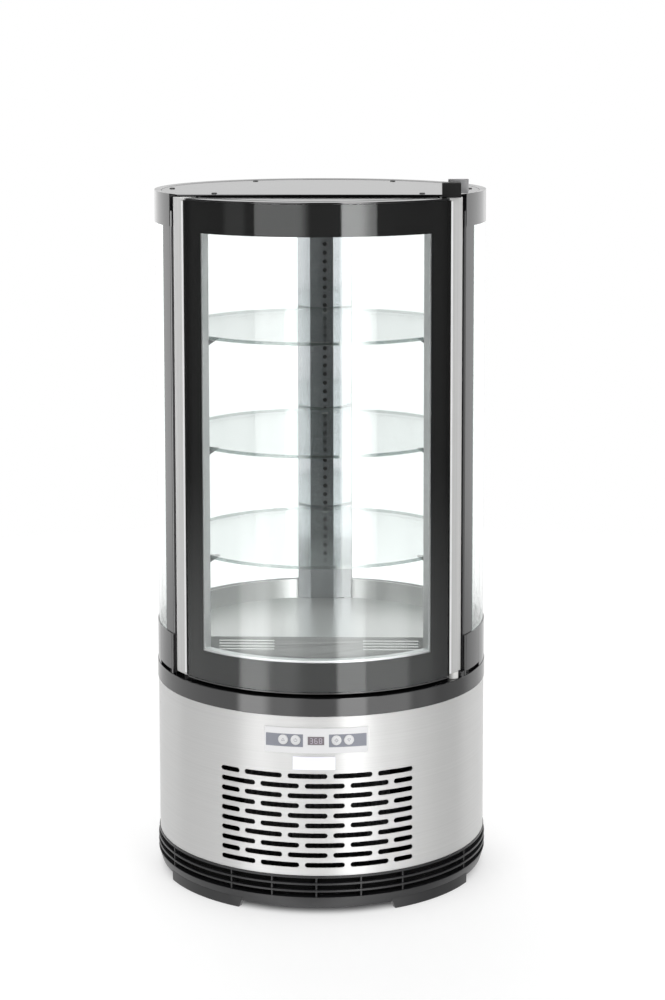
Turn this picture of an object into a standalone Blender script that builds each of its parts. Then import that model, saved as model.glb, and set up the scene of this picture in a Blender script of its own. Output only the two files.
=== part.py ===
"""Round refrigerated cake display case with a curved glass door, as separate pieces.

Metres, +Z up. The case stands on the Z axis and its door faces -Y. Angles on plan are in
degrees from the front (-Y) towards +X.
"""
import math

import bpy
import bmesh
from mathutils import Matrix, Vector

# Facets, clearances and overlaps shared by every piece
FACET = 5.0
GAP = 0.0003
MERGE = 0.00001
REACH = 0.005
FAR = 0.6

# Rings and walls that set the width
RING_RADIUS = 0.2354
SHELL_INSET = 0.0012
GLASS_INSET = 0.0024
DOOR_INSET = 0.0047
TRIM_SKIN = 0.0005

# Plastic base ring with its vents and feet
BASE_OUTSET = 0.0012
FOOT_HEIGHT = 0.0098
FOOT_START = 26.0
FOOT_END = 63.3
BASE_WALL = 0.0124
BASE_LEDGE_WIDTH = 0.018
BASE_LEDGE_THICKNESS = 0.003
SKIRT_HEIGHT = 0.0158
SKIRT_TAPER = 0.005
VENT_HEIGHT = 0.0056
TOP_VENT_HEIGHT = 0.0086
VENT_RING_HEIGHT = 0.0043
VENT_RING_WIDTH = 0.006
BAND_HEIGHT = 0.001
BASE_LIP_HEIGHT = 0.010
BASE_LIP_WALL = 0.0032
RIB_WIDTH = 0.0022
RIB_ANGLES = (0, 15, 30, 60, 90, 120, 150, 180, -15, -30, -60, -90, -120, -150)
PLATE_THICKNESS = 0.0015

# Stainless shell with its slotted front grille
SHELL_WALL = 0.0012
SHELL_HEIGHT = 0.2217
GRILLE_TOP = 0.0827
GRILLE_HALF = 0.139
GRILLE_ROWS = 10
GRILLE_PITCH = 0.01382
SLOT_HEIGHT = 0.007
SLOT_LENGTH = 0.0546
SLOT_BRIDGE = 0.0077
SLOT_FIRST = -0.1014
SLOT_SIDES = 10

# Control panel, measured down from the top of the shell
PANEL_HALF = 0.071
PANEL_HEIGHT = 0.035
PANEL_DROP = 0.0155
BUTTON_DROP = 0.0323
BUTTON_DIAMETER = 0.0137
BUTTON_OFFSETS = (-0.0448, -0.0277, 0.0277, 0.0448)
BUTTON_STAND = 0.0004
BUTTON_LENGTH = 0.0028
DISPLAY_WIDTH = 0.0219
DISPLAY_HEIGHT = 0.011
DISPLAY_DROP = 0.033
DISPLAY_STAND = 0.0002
DISPLAY_RIM = 0.001
BADGE_WIDTH = 0.058
BADGE_HEIGHT = 0.0185
BADGE_DROP = 0.0642
BADGE_OFFSET = -0.0028
CONTROLLER_WIDTH = 0.076
CONTROLLER_NOSE = 0.039
CONTROLLER_HEIGHT = 0.036
CONTROLLER_FRONT = 0.0080
CONTROLLER_DEPTH = 0.056

# Mains inlet in the back of the shell
INLET_WIDTH = 0.030
INLET_HEIGHT = 0.024
INLET_LIFT = 0.0297
INLET_DEPTH = 0.030
INLET_WALL = 0.0035
INLET_SOCKET_DEPTH = 0.016

# Collar between the steel and the glass
COLLAR_HEIGHT = 0.0252
COLLAR_WALL = 0.0154
COLLAR_LEDGE = 0.015
COLLAR_LEDGE_THICKNESS = 0.0027
DECK_THICKNESS = 0.004
BOSS_HEIGHT = 0.0075
BOSS_START = 58.2
BOSS_END = 59.9

# Evaporator tub and the steel pan on top of it
TUB_HEIGHT = 0.0512
TUB_WALL = 0.010
TUB_FLOOR = 0.008
PAN_THICKNESS = 0.0012
PAN_WALL_HEIGHT = 0.0285
AIR_SLOT_HALF = 0.030
AIR_SLOT_SETBACK = 0.0015
AIR_SLOT_WIDTH = 0.005
COIL_WIDTH = 0.230
COIL_SPACE_AHEAD = 0.0122
COIL_SPACE_BEHIND = 0.029
COIL_HEIGHT = 0.034
CHAMBER_FAN_SIZE = 0.092
CHAMBER_FAN_HEIGHT = 0.025
CHAMBER_FAN_FROM_WALL = 0.0972
CHAMBER_FAN_RADIUS = 0.0420
CHAMBER_FAN_HUB_HEIGHT = 0.006

# Fixed double glass and the black ring that it stands in
BAND_RING_HEIGHT = 0.0572
BAND_RING_OUTSET = 0.0015
PANE_HEIGHT = 0.5917
PANE_THICKNESS = 0.004
PANE_SPACE = 0.0078
NOTCH_START = 61.5
NOTCH_END = 74.0
NOTCH_HEIGHT = 0.0057
NOTCH_DEPTH = 0.0085

# Rear column, an air duct of folded steel
COLUMN_HALF = 0.041
COLUMN_FACE_HALF = 0.017
COLUMN_FACE_STAND = 0.0112
COLUMN_SIDE_STAND = 0.0032
COLUMN_BACK_DEPTH = 0.0108
COLUMN_WALL = 0.0012
COLUMN_CLEARANCE = 0.0006
AIR_HOLE_DIAMETER = 0.005
AIR_HOLE_PITCH = 0.018
AIR_HOLE_COUNT = 28
AIR_HOLE_LIFT = 0.070

# Front frame around the door opening
FRAME_STEP_ANGLE = 1.3
POST_ANGLE = 6.7
POST_FLANGE = 0.0035
SILL_HEIGHT = 0.0527
SILL_THICKNESS = 0.003
LOUVRE_HEIGHT = 0.0016
LOUVRE_PITCH = 0.004
LOUVRE_ROWS = 4
LOUVRE_INNER = 0.062
LOUVRE_OUTER = 0.139
LOUVRE_DROP = 0.0048
RAIL_DEPTH = 0.0165
RAIL_LIP = 0.003

# Top ring, ceiling, lamp and cover
TOP_RING_HEIGHT = 0.0448
TOP_RING_LAP = 0.0212
TOP_RING_INSET = 0.0014
TOP_RING_SKIN = 0.0005
COVER_RECESS = 0.0034
COVER_THICKNESS = 0.0017
COVER_INSET = 0.0107
LINER_LIFT = 0.0022
LINER_THICKNESS = 0.002
LAMP_LENGTH = 0.240
LAMP_DEPTH = 0.018
LAMP_HEIGHT = 0.0102

# Shelves and what carries them
SHELF_SPACE_BEHIND = 0.004
SHELF_THICKNESS = 0.005
SHELF_LIFTS = (0.144, 0.296, 0.449)
ARM_THICKNESS = 0.0025
ARM_LENGTH = 0.035
ARM_ROOT = 0.026
ARM_TIP = 0.0015
ARM_SETBACK = 0.0005
CLIP_WIDTH = 0.008
CLIP_REACH = 0.0122
CLIP_THICKNESS = 0.003

# Door
DOOR_HALF_ANGLE = 59.0
STRIP_ANGLE = 51.3
BORDER_ANGLE = 42.1
DOOR_LIFT = 0.0043
DOOR_TOP_DROP = 0.0044
DOOR_PANE_THICKNESS = 0.004
DOOR_PANE_SPACE = 0.012
CAP_LIP = 0.0024
CAP_HEIGHT = 0.0212
CAP_DEPTH = 0.1307
CAP_GROOVE_START = 0.0207
CAP_GROOVE_END = 0.0277
CAP_GROOVE_DEPTH = 0.0017
BOTTOM_CAP_HEIGHT = 0.0185
BORDER_BOTTOM = 0.0457
BORDER_TOP = 0.0462
BORDER_THICKNESS = 0.003
SPACER_SETBACK = 0.009
PROFILE_LIFT = 0.005
PROFILE_BACK_WIDTH = 0.0318
GASKET_THICKNESS = 0.0072
GASKET_WIDTH = 0.011
GASKET_EDGE = 0.0133
GASKET_LIFT = 0.0042
GASKET_DROP = 0.0062
SEAT_MARGIN = 0.001

# Hinge of the door
HINGE_FROM_BACK = 0.0074
HINGE_FROM_FACE = 0.0051
PIN_DIAMETER = 0.006
PIN_CLEARANCE = 0.0003
PIN_BORE_DEPTH = 0.025
PIN_LENGTH_IN_DOOR = 0.0182
BUSH_DIAMETER = 0.015
PIN_BELOW_DECK = 0.006
HINGE_BLOCK_WIDTH = 0.0256
HINGE_BLOCK_OUTER = 0.0081
HINGE_BLOCK_FRONT = 0.0108
HINGE_BLOCK_HEIGHT = 0.0199
BRACKET_THICKNESS = 0.0025
BRACKET_INNER = 0.009
BRACKET_OUTER = 0.019
BRACKET_DEPTH = 0.0205
BRACKET_RISE = 0.004

# Cooling unit in the base
COMPRESSOR_RADIUS = 0.062
COMPRESSOR_HEIGHT = 0.155
COMPRESSOR_FOOT_WIDTH = 0.006
COMPRESSOR_FOOT_HEIGHT = 0.010
COMPRESSOR_DOME = 0.035
COMPRESSOR_FROM_WALL = 0.0348
CONDENSER_WIDTH = 0.200
CONDENSER_FROM_WALL = 0.043
CONDENSER_DEPTH = 0.032
CONDENSER_HEIGHT = 0.1744
SHROUD_WIDTH = 0.150
SHROUD_HEIGHT = 0.160
SHROUD_THICKNESS = 0.0025
FAN_RADIUS = 0.055
FAN_TIP_CLEARANCE = 0.005
FAN_HUB_RADIUS = 0.020
FAN_HUB_LENGTH = 0.0197
FAN_SPACE = 0.003
FAN_PITCH_ANGLE = 35.0
FAN_CHORD_SHARE = 0.8
CROSSBAR_WIDTH = 0.016
CROSSBAR_THICKNESS = 0.0035
MOTOR_RADIUS = 0.028
MOTOR_LENGTH = 0.043
FIN_COUNT = 20
FIN_DEPTH = 0.006

# Radii that follow from the ring
shell_radius = RING_RADIUS - SHELL_INSET
shell_inner = shell_radius - SHELL_WALL
glass_radius = RING_RADIUS - GLASS_INSET
inner_pane_radius = glass_radius - PANE_THICKNESS - PANE_SPACE
frame_inner_radius = inner_pane_radius - PANE_THICKNESS
door_radius = RING_RADIUS - DOOR_INSET
door_core_radius = door_radius - DOOR_PANE_THICKNESS - GAP
door_inner_radius = door_core_radius - DOOR_PANE_SPACE + GAP
band_radius = glass_radius + BAND_RING_OUTSET
base_inner = RING_RADIUS - BASE_WALL
base_ledge_radius = base_inner - BASE_LEDGE_WIDTH
collar_inner = RING_RADIUS - COLLAR_WALL
panel_inner = shell_radius + GAP
panel_radius = panel_inner + TRIM_SKIN
column_front = frame_inner_radius - COLUMN_FACE_STAND
column_side = frame_inner_radius - COLUMN_SIDE_STAND
column_back = frame_inner_radius + COLUMN_BACK_DEPTH
shelf_radius = column_front - SHELF_SPACE_BEHIND
cap_inner_radius = door_radius - CAP_DEPTH

# Heights of the base and shell, from the floor up
skirt_top = FOOT_HEIGHT + SKIRT_HEIGHT
vent_rings = (skirt_top + VENT_HEIGHT, skirt_top + 2 * VENT_HEIGHT + VENT_RING_HEIGHT)
band_bottom = vent_rings[1] + VENT_RING_HEIGHT + TOP_VENT_HEIGHT
base_top = band_bottom + BAND_HEIGHT
plate_bottom = FOOT_HEIGHT + BASE_LEDGE_THICKNESS + GAP
plate_top = plate_bottom + PLATE_THICKNESS
unit_floor = plate_top + GAP
shell_bottom = base_top + GAP
shell_top = shell_bottom + SHELL_HEIGHT

# Heights of the collar, tub, pan and glass
collar_bottom = shell_top + GAP
collar_top = collar_bottom + COLLAR_HEIGHT
tub_bottom = collar_bottom + COLLAR_LEDGE_THICKNESS + GAP
tub_top = tub_bottom + TUB_HEIGHT
tub_floor = tub_bottom + TUB_FLOOR
chamber_unit_floor = tub_floor + GAP
pan_bottom = tub_top + GAP
pan_top = pan_bottom + PAN_THICKNESS
band_ring_bottom = collar_top + GAP
band_ring_top = band_ring_bottom + BAND_RING_HEIGHT
pane_bottom = band_ring_top + GAP
pane_top = pane_bottom + PANE_HEIGHT
top_ring_bottom = pane_top - TOP_RING_LAP
top_ring_top = top_ring_bottom + TOP_RING_HEIGHT
cover_seat = top_ring_top - COVER_RECESS
liner_bottom = top_ring_bottom + LINER_LIFT
liner_top = liner_bottom + LINER_THICKNESS
rail_seat = pane_top + 2 * GAP

# Door, frame and hinge lines
door_bottom = collar_top + DOOR_LIFT
door_top = top_ring_top - DOOR_TOP_DROP
window_bottom = door_bottom + BORDER_BOTTOM
window_top = door_top - BORDER_TOP
core_bottom = door_bottom + BOTTOM_CAP_HEIGHT + GAP
core_top = door_top - CAP_HEIGHT - GAP
door_turn = math.radians(DOOR_HALF_ANGLE)
door_back_y = -door_radius * math.cos(door_turn)
door_edge_x = door_radius * math.sin(door_turn)
frame_angle = DOOR_HALF_ANGLE + FRAME_STEP_ANGLE
frame_y = door_back_y + GASKET_THICKNESS + 2 * GAP
profile_inner_x = door_edge_x - PROFILE_BACK_WIDTH
gasket_outer_x = door_edge_x - GASKET_EDGE
gasket_inner_x = gasket_outer_x - GASKET_WIDTH
flange_x = gasket_inner_x - SEAT_MARGIN
sill_half = frame_inner_radius * math.sin(math.radians(frame_angle)) - 1.5 * SEAT_MARGIN
sill_back = frame_y + SILL_THICKNESS
chamber_front = frame_y + max(SILL_THICKNESS, POST_FLANGE) + GAP
chamber_fan_y = frame_inner_radius - CHAMBER_FAN_FROM_WALL
coil_front = chamber_front + TUB_WALL + COIL_SPACE_AHEAD
coil_back = chamber_fan_y - CHAMBER_FAN_SIZE / 2 - COIL_SPACE_BEHIND
hinge_y = door_back_y - HINGE_FROM_BACK
hinge_x = math.sqrt((door_radius - HINGE_FROM_FACE) ** 2 - hinge_y ** 2)

# Collections
for old in list(bpy.data.objects):
    bpy.data.objects.remove(old, do_unlink=True)
parts = bpy.data.collections.new("cake_display_case")
cutters = bpy.data.collections.new("cutters")
bpy.context.scene.collection.children.link(parts)
bpy.context.scene.collection.children.link(cutters)


def place(name, mesh, helper=False):
    """Put a mesh in the scene, either as a piece or as a helper for a Boolean."""
    piece = bpy.data.objects.new(name, mesh)
    if helper:
        cutters.objects.link(piece)
        piece.hide_render = True
        piece.display_type = "WIRE"
    else:
        parts.objects.link(piece)
    return piece


def on_plan(radius, angle):
    """The point on plan at an angle from the front."""
    turn = math.radians(angle)
    return (radius * math.sin(turn), -radius * math.cos(turn))


def arc(radius, start, end):
    """Points along an arc, no further apart than a facet."""
    count = max(1, math.ceil(abs(end - start) / FACET - 0.01))
    return [on_plan(radius, start + (end - start) * index / count) for index in range(count + 1)]


def inset(outline, distance):
    """Move each edge of a counterclockwise outline inwards by the same distance."""
    moved = []
    for index, corner in enumerate(outline):
        before = Vector(outline[index - 1])
        here = Vector(corner)
        after = Vector(outline[(index + 1) % len(outline)])
        arriving = (here - before).normalized()
        leaving = (after - here).normalized()
        bisector = (leaving.orthogonal() + arriving.orthogonal()).normalized()
        stretch = bisector.dot(leaving.orthogonal())
        moved.append(tuple(here + bisector * distance / stretch))
    return moved


def turned(name, profile, helper=False):
    """Turn a profile of (radius, height) points about Z; it runs down the outer side."""
    mesh = bpy.data.meshes.new(name)
    outline = bmesh.new()
    corners = [outline.verts.new((radius, 0, height)) for radius, height in profile]
    for start, end in zip(corners, corners[1:]):
        outline.edges.new((start, end))
    if profile[0][0] > 0:
        outline.edges.new((corners[-1], corners[0]))
    outline.to_mesh(mesh)
    outline.free()
    piece = place(name, mesh, helper)
    screw = piece.modifiers.new("Turn", "SCREW")
    screw.steps = round(360 / FACET)
    screw.render_steps = screw.steps
    screw.use_merge_vertices = True
    screw.merge_threshold = MERGE
    return piece


def curved_panel(name, outer, thickness, bottom, top, start, end):
    """A curved sheet that stands between two angles from the front."""
    mesh = bpy.data.meshes.new(name)
    upright = bmesh.new()
    upper = upright.verts.new((outer, 0, top))
    lower = upright.verts.new((outer, 0, bottom))
    upright.edges.new((upper, lower))
    upright.to_mesh(mesh)
    upright.free()
    piece = place(name, mesh)
    piece.rotation_euler.z = math.radians(start - 90)
    screw = piece.modifiers.new("Turn", "SCREW")
    screw.angle = math.radians(end - start)
    screw.steps = max(1, math.ceil((end - start) / FACET))
    screw.render_steps = screw.steps
    sheet = piece.modifiers.new("Thickness", "SOLIDIFY")
    sheet.thickness = thickness
    sheet.offset = -1
    return piece


def prism(name, outlines, bottom, top, helper=False):
    """Extrude flat outlines upwards; an outline inside the first one is a hole."""
    curve = bpy.data.curves.new(name, "CURVE")
    curve.dimensions = "2D"
    curve.fill_mode = "BOTH"
    curve.extrude = (top - bottom) / 2
    for outline in outlines:
        spline = curve.splines.new("POLY")
        spline.points.add(len(outline) - 1)
        for point, (x, y) in zip(spline.points, outline):
            point.co = (x, y, 0, 1)
        spline.use_cyclic_u = True
    flat = bpy.data.objects.new(name, curve)
    flat.location.z = (top + bottom) / 2
    bpy.context.scene.collection.objects.link(flat)
    bpy.context.view_layer.update()
    evaluated = flat.evaluated_get(bpy.context.evaluated_depsgraph_get())
    mesh = bpy.data.meshes.new_from_object(evaluated)
    welded = bmesh.new()
    welded.from_mesh(mesh)
    bmesh.ops.remove_doubles(welded, verts=welded.verts, dist=MERGE)
    welded.to_mesh(mesh)
    welded.free()
    matrix = flat.matrix_world.copy()
    bpy.data.objects.remove(flat)
    piece = place(name, mesh, helper)
    piece.matrix_world = matrix
    return piece


def along_x(name, outlines, start, end, helper=False):
    """Extrude flat (y, z) outlines along X."""
    piece = prism(name, outlines, start, end, helper)
    piece.matrix_world = Matrix(((0, 0, 1, 0), (1, 0, 0, 0), (0, 1, 0, 0), (0, 0, 0, 1))) @ piece.matrix_world
    return piece


def along_y(name, outlines, start, end, helper=False):
    """Extrude flat (x, z) outlines along Y."""
    piece = prism(name, outlines, -end, -start, helper)
    piece.matrix_world = Matrix.Rotation(math.radians(90), 4, "X") @ piece.matrix_world
    return piece


def sector(name, inner, outer, start, end, bottom, top, helper=False):
    """A block between two radii and two angles."""
    outline = arc(outer, start, end) + arc(inner, end, start)
    return prism(name, [outline], bottom, top, helper)


def box(name, low, high, helper=False):
    """A box between two corners."""
    mesh = bpy.data.meshes.new(name)
    cube = bmesh.new()
    size = [end - start for start, end in zip(low, high)]
    bmesh.ops.create_cube(cube, size=1, matrix=Matrix.Diagonal((*size, 1)))
    cube.to_mesh(mesh)
    cube.free()
    piece = place(name, mesh, helper)
    piece.location = [(start + end) / 2 for start, end in zip(low, high)]
    return piece


def cylinder(name, radius, length, centre, turn=(0, 0, 0), sides=24, helper=False):
    """A round bar; it lies along Z before it is turned."""
    mesh = bpy.data.meshes.new(name)
    bar = bmesh.new()
    bmesh.ops.create_cone(
        bar, cap_ends=True, segments=sides, radius1=radius, radius2=radius, depth=length
    )
    bar.to_mesh(mesh)
    bar.free()
    piece = place(name, mesh, helper)
    piece.location = centre
    piece.rotation_euler = turn
    return piece


def radial_bar(name, radius, angle, height, inner, outer, sides=24, helper=False):
    """A round bar that points out of the case at an angle from the front."""
    middle = on_plan((inner + outer) / 2, angle)
    turn = (math.radians(90), 0, math.radians(angle))
    return cylinder(name, radius, outer - inner, (*middle, height), turn, sides, helper)


def combine(piece, other, operation):
    """Add an exact Boolean with a helper solid."""
    step = piece.modifiers.new(other.name, "BOOLEAN")
    step.operation = operation
    step.object = other
    step.solver = "EXACT"


def cut(piece, *helpers):
    """Take helper solids away from a piece."""
    for other in helpers:
        combine(piece, other, "DIFFERENCE")


def join(piece, *helpers):
    """Fuse helper solids to a piece."""
    for other in helpers:
        combine(piece, other, "UNION")


def hang(pieces, axis_name, point, turn=(0, 0, 0)):
    """Hang moving pieces on an empty that stands on their axis."""
    axis = bpy.data.objects.new(axis_name, None)
    axis.empty_display_size = 0.02
    axis.location = point
    axis.rotation_euler = turn
    parts.objects.link(axis)
    bpy.context.view_layer.update()
    for piece in pieces:
        piece.parent = axis
        piece.matrix_parent_inverse = axis.matrix_world.inverted()


def finish(piece, colour, roughness, metallic=0.0, alpha=1.0):
    """Give a piece its own material."""
    material = bpy.data.materials.new(piece.name)
    material.use_nodes = True
    shader = material.node_tree.nodes["Principled BSDF"]
    shader.inputs["Base Color"].default_value = (*colour, 1)
    shader.inputs["Roughness"].default_value = roughness
    shader.inputs["Metallic"].default_value = metallic
    shader.inputs["Alpha"].default_value = alpha
    piece.data.materials.clear()
    piece.data.materials.append(material)
    return piece


def black_plastic(piece):
    return finish(piece, (0.03, 0.03, 0.03), 0.45)


def gloss_black(piece):
    return finish(piece, (0.02, 0.02, 0.02), 0.12)


def brushed_steel(piece):
    return finish(piece, (0.60, 0.60, 0.59), 0.32, 1.0)


def clear_glass(piece):
    return finish(piece, (0.95, 0.98, 0.97), 0.02, 0.0, 0.3)


def arc_angle(length, radius):
    """The angle, in degrees, that a length takes along an arc."""
    return math.degrees(length / radius)


def d_outline(radius, front):
    """A round outline with a straight front."""
    angle = math.degrees(math.acos(-front / radius))
    return arc(radius, angle, 360 - angle)


# Cutters that several pieces share

def front_wedge(name):
    """Everything in front of the two ends of the fixed rings."""
    left = on_plan(FAR, -frame_angle)
    right = on_plan(FAR, frame_angle)
    return prism(name, [[(0, 0), left, (left[0], -FAR), (right[0], -FAR), right]], -FAR, 3 * FAR, True)


def front_block(name, back):
    """Everything in front of a line across the case."""
    return box(name, (-FAR, -FAR, -FAR), (FAR, back, 3 * FAR), True)


def column_notch(name):
    """Room for the rear column."""
    half = COLUMN_HALF + COLUMN_CLEARANCE
    back = column_back + COLUMN_CLEARANCE
    return box(name, (-half, column_front - REACH, pan_top + GAP / 3), (half, back, pane_top), True)


# Base

def add_base_ring():
    ledge_top = FOOT_HEIGHT + BASE_LEDGE_THICKNESS
    ring_outer = RING_RADIUS + BASE_OUTSET
    foot_outer = ring_outer - SKIRT_TAPER
    base = turned("base_ring", [
        (ring_outer, skirt_top), (foot_outer, FOOT_HEIGHT), (base_ledge_radius, FOOT_HEIGHT),
        (base_ledge_radius, ledge_top), (base_inner, ledge_top), (base_inner, skirt_top),
    ])
    for number, bottom in enumerate(vent_rings, 1):
        top = bottom + VENT_RING_HEIGHT
        join(base, turned(f"vent_ring_{number}", [
            (ring_outer, top), (ring_outer, bottom),
            (ring_outer - VENT_RING_WIDTH, bottom), (ring_outer - VENT_RING_WIDTH, top),
        ], True))
    lip_outer = shell_inner - GAP
    lip_inner = lip_outer - BASE_LIP_WALL
    lip_top = base_top + BASE_LIP_HEIGHT
    join(base, turned("top_band", [
        (lip_outer, lip_top), (lip_outer, base_top), (RING_RADIUS, base_top),
        (RING_RADIUS, band_bottom), (base_inner, band_bottom), (base_inner, base_top),
        (lip_inner, base_top), (lip_inner, lip_top),
    ], True))
    rib_outer = RING_RADIUS - GAP
    rib_inner = base_inner + BAND_HEIGHT
    for angle in RIB_ANGLES:
        rib = box(
            f"rib_{angle}",
            (-RIB_WIDTH / 2, -rib_outer, skirt_top - BAND_HEIGHT / 2),
            (RIB_WIDTH / 2, -rib_inner, band_bottom + BAND_HEIGHT / 2),
            True,
        )
        rib.matrix_world = Matrix.Rotation(math.radians(angle), 4, "Z") @ Matrix.Translation(rib.location)
        join(base, rib)
    for number, middle in enumerate((0, 180), 1):
        for side in (-1, 1):
            start, end = sorted(middle + side * edge for edge in (FOOT_START, FOOT_END))
            join(base, sector(
                f"foot_{number}_{side}", rib_inner, foot_outer - GAP, start, end,
                0, FOOT_HEIGHT + BAND_HEIGHT / 2, True,
            ))
    black_plastic(base)


def add_base_plate():
    radius = base_inner - GAP * 2
    plate = turned("base_plate", [(0, plate_top), (radius, plate_top), (radius, plate_bottom), (0, plate_bottom)])
    finish(plate, (0.45, 0.46, 0.46), 0.5, 0.9)


# Shell, grille and controls

def slot_cutter(name, start, end, height):
    """A slot with round ends: a bar across the wall, pulled apart along its length."""
    angle = arc_angle((start + end) / 2, shell_radius)
    slot = radial_bar(
        name, SLOT_HEIGHT / 2, angle, height, shell_inner - REACH, shell_radius + REACH, SLOT_SIDES, True
    )
    pull = (end - start - SLOT_HEIGHT) / 2
    for vertex in slot.data.vertices:
        vertex.co.x += math.copysign(pull, vertex.co.x)
    return slot


def grille_slots():
    """One cutter that holds every slot of the grille, staggered from row to row."""
    slots = []
    for row in range(GRILLE_ROWS):
        side = 1 if row % 2 == 0 else -1
        height = shell_top - GRILLE_TOP - row * GRILLE_PITCH
        step = SLOT_LENGTH + SLOT_BRIDGE
        for number in range(-1, 4):
            start = max(SLOT_FIRST + number * step, -GRILLE_HALF)
            end = min(SLOT_FIRST + number * step + SLOT_LENGTH, GRILLE_HALF)
            if end - start > SLOT_HEIGHT:
                left, right = sorted((side * start, side * end))
                slots.append(slot_cutter(f"slot_{row}_{number}", left, right, height))
    return merge_helpers("grille_slots", slots)


def merge_helpers(name, helpers):
    """Gather separate helper solids into one mesh."""
    bpy.context.view_layer.update()
    gathered = bmesh.new()
    for helper in helpers:
        mesh = helper.data.copy()
        mesh.transform(helper.matrix_world)
        gathered.from_mesh(mesh)
        bpy.data.meshes.remove(mesh)
        bpy.data.objects.remove(helper)
    mesh = bpy.data.meshes.new(name)
    gathered.to_mesh(mesh)
    gathered.free()
    return place(name, mesh, True)


def panel_window(name, width, height, middle):
    """A cutter through the shell's front for the display."""
    return box(
        name,
        (-width / 2, -RING_RADIUS - REACH, middle - height / 2),
        (width / 2, -shell_inner + REACH, middle + height / 2),
        True,
    )


def add_shell_and_panel():
    shell = turned("steel_shell", [
        (shell_radius, shell_top), (shell_radius, shell_bottom),
        (shell_inner, shell_bottom), (shell_inner, shell_top),
    ])
    cut(shell, grille_slots())
    panel_top = shell_top - PANEL_DROP
    panel_angle = arc_angle(PANEL_HALF, shell_radius)
    panel = curved_panel(
        "control_panel", panel_radius, TRIM_SKIN, panel_top - PANEL_HEIGHT, panel_top, -panel_angle, panel_angle
    )
    button_z = shell_top - BUTTON_DROP
    holes = merge_helpers("button_holes", [
        radial_bar(
            f"button_hole_{index}", BUTTON_DIAMETER / 2 + GAP, arc_angle(offset, shell_radius), button_z,
            shell_inner - REACH, shell_radius + REACH, 20, True,
        )
        for index, offset in enumerate(BUTTON_OFFSETS)
    ])
    cut(shell, holes)
    cut(panel, holes)
    display_z = shell_top - DISPLAY_DROP
    cut(panel, panel_window("panel_opening", DISPLAY_WIDTH + 2 * GAP, DISPLAY_HEIGHT + 2 * GAP, display_z))
    cut(shell, panel_window(
        "shell_opening", DISPLAY_WIDTH - 2 * DISPLAY_RIM, DISPLAY_HEIGHT - 2 * DISPLAY_RIM, display_z
    ))
    brushed_steel(shell)
    finish(panel, (0.55, 0.55, 0.54), 0.4)
    display_angle = arc_angle(DISPLAY_WIDTH / 2, shell_radius)
    display = curved_panel(
        "display_window", panel_radius + DISPLAY_STAND, TRIM_SKIN + DISPLAY_STAND,
        display_z - DISPLAY_HEIGHT / 2, display_z + DISPLAY_HEIGHT / 2, -display_angle, display_angle,
    )
    finish(display, (0.02, 0.02, 0.02), 0.1)
    for number, offset in enumerate(BUTTON_OFFSETS, 1):
        angle = arc_angle(offset, shell_radius)
        outer = panel_radius + BUTTON_STAND
        button = radial_bar(
            f"button_{number}", BUTTON_DIAMETER / 2, angle, button_z, outer - BUTTON_LENGTH, outer, 20
        )
        finish(button, (0.75, 0.75, 0.73), 0.35)
        hang([button], f"button_{number}_axis", (*on_plan(shell_radius, angle), button_z))
    badge_z = shell_top - BADGE_DROP
    badge_start = arc_angle(BADGE_OFFSET - BADGE_WIDTH / 2, shell_radius)
    badge_end = arc_angle(BADGE_OFFSET + BADGE_WIDTH / 2, shell_radius)
    badge = curved_panel(
        "badge_plate", panel_radius, TRIM_SKIN, badge_z - BADGE_HEIGHT / 2, badge_z + BADGE_HEIGHT / 2,
        badge_start, badge_end,
    )
    finish(badge, (0.7, 0.7, 0.7), 0.25, 0.8)


def add_controller():
    """The temperature controller, with a nose between the middle buttons."""
    middle = shell_top - DISPLAY_DROP
    low = middle - CONTROLLER_HEIGHT / 2
    high = middle + CONTROLLER_HEIGHT / 2
    nose_half = CONTROLLER_NOSE / 2
    nose_front = -math.sqrt((shell_inner - 2 * GAP) ** 2 - nose_half ** 2)
    body_front = -shell_inner + CONTROLLER_FRONT
    body_back = body_front + CONTROLLER_DEPTH
    controller = box(
        "controller_box", (-CONTROLLER_WIDTH / 2, body_front, low), (CONTROLLER_WIDTH / 2, body_back, high)
    )
    join(controller, box(
        "controller_nose",
        (-nose_half, nose_front, low + SEAT_MARGIN),
        (nose_half, body_front + REACH, high - SEAT_MARGIN),
        True,
    ))
    finish(controller, (0.08, 0.08, 0.08), 0.5)


def add_power_inlet():
    """An appliance inlet with a recessed socket, set in the back of the shell."""
    bottom = shell_bottom + INLET_LIFT
    half = INLET_WIDTH / 2
    back = shell_radius + BUTTON_STAND
    inlet = box("power_inlet", (-half, back - INLET_DEPTH, bottom), (half, back, bottom + INLET_HEIGHT))
    cut(inlet, box(
        "inlet_socket",
        (-half + INLET_WALL, back - INLET_SOCKET_DEPTH, bottom + INLET_WALL),
        (half - INLET_WALL, back + REACH, bottom + INLET_HEIGHT - INLET_WALL),
        True,
    ))
    finish(inlet, (0.02, 0.02, 0.02), 0.4)
    cut(parts.objects["steel_shell"], box(
        "inlet_opening",
        (-half - GAP, shell_inner - REACH, bottom - GAP),
        (half + GAP, RING_RADIUS + REACH, bottom + INLET_HEIGHT + GAP),
        True,
    ))


# Cooling unit in the base

def fin_outline(left, right, front, back):
    """A long block with V grooves in its front and back, which stand for the fins."""
    pitch = (right - left) / FIN_COUNT
    front_edge = [(left, front)]
    back_edge = [(right, back)]
    for index in range(FIN_COUNT):
        front_edge.append((left + (index + 0.5) * pitch, front + FIN_DEPTH))
        front_edge.append((left + (index + 1) * pitch, front))
        back_edge.append((right - (index + 0.5) * pitch, back - FIN_DEPTH))
        back_edge.append((right - (index + 1) * pitch, back))
    return front_edge + back_edge


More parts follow.
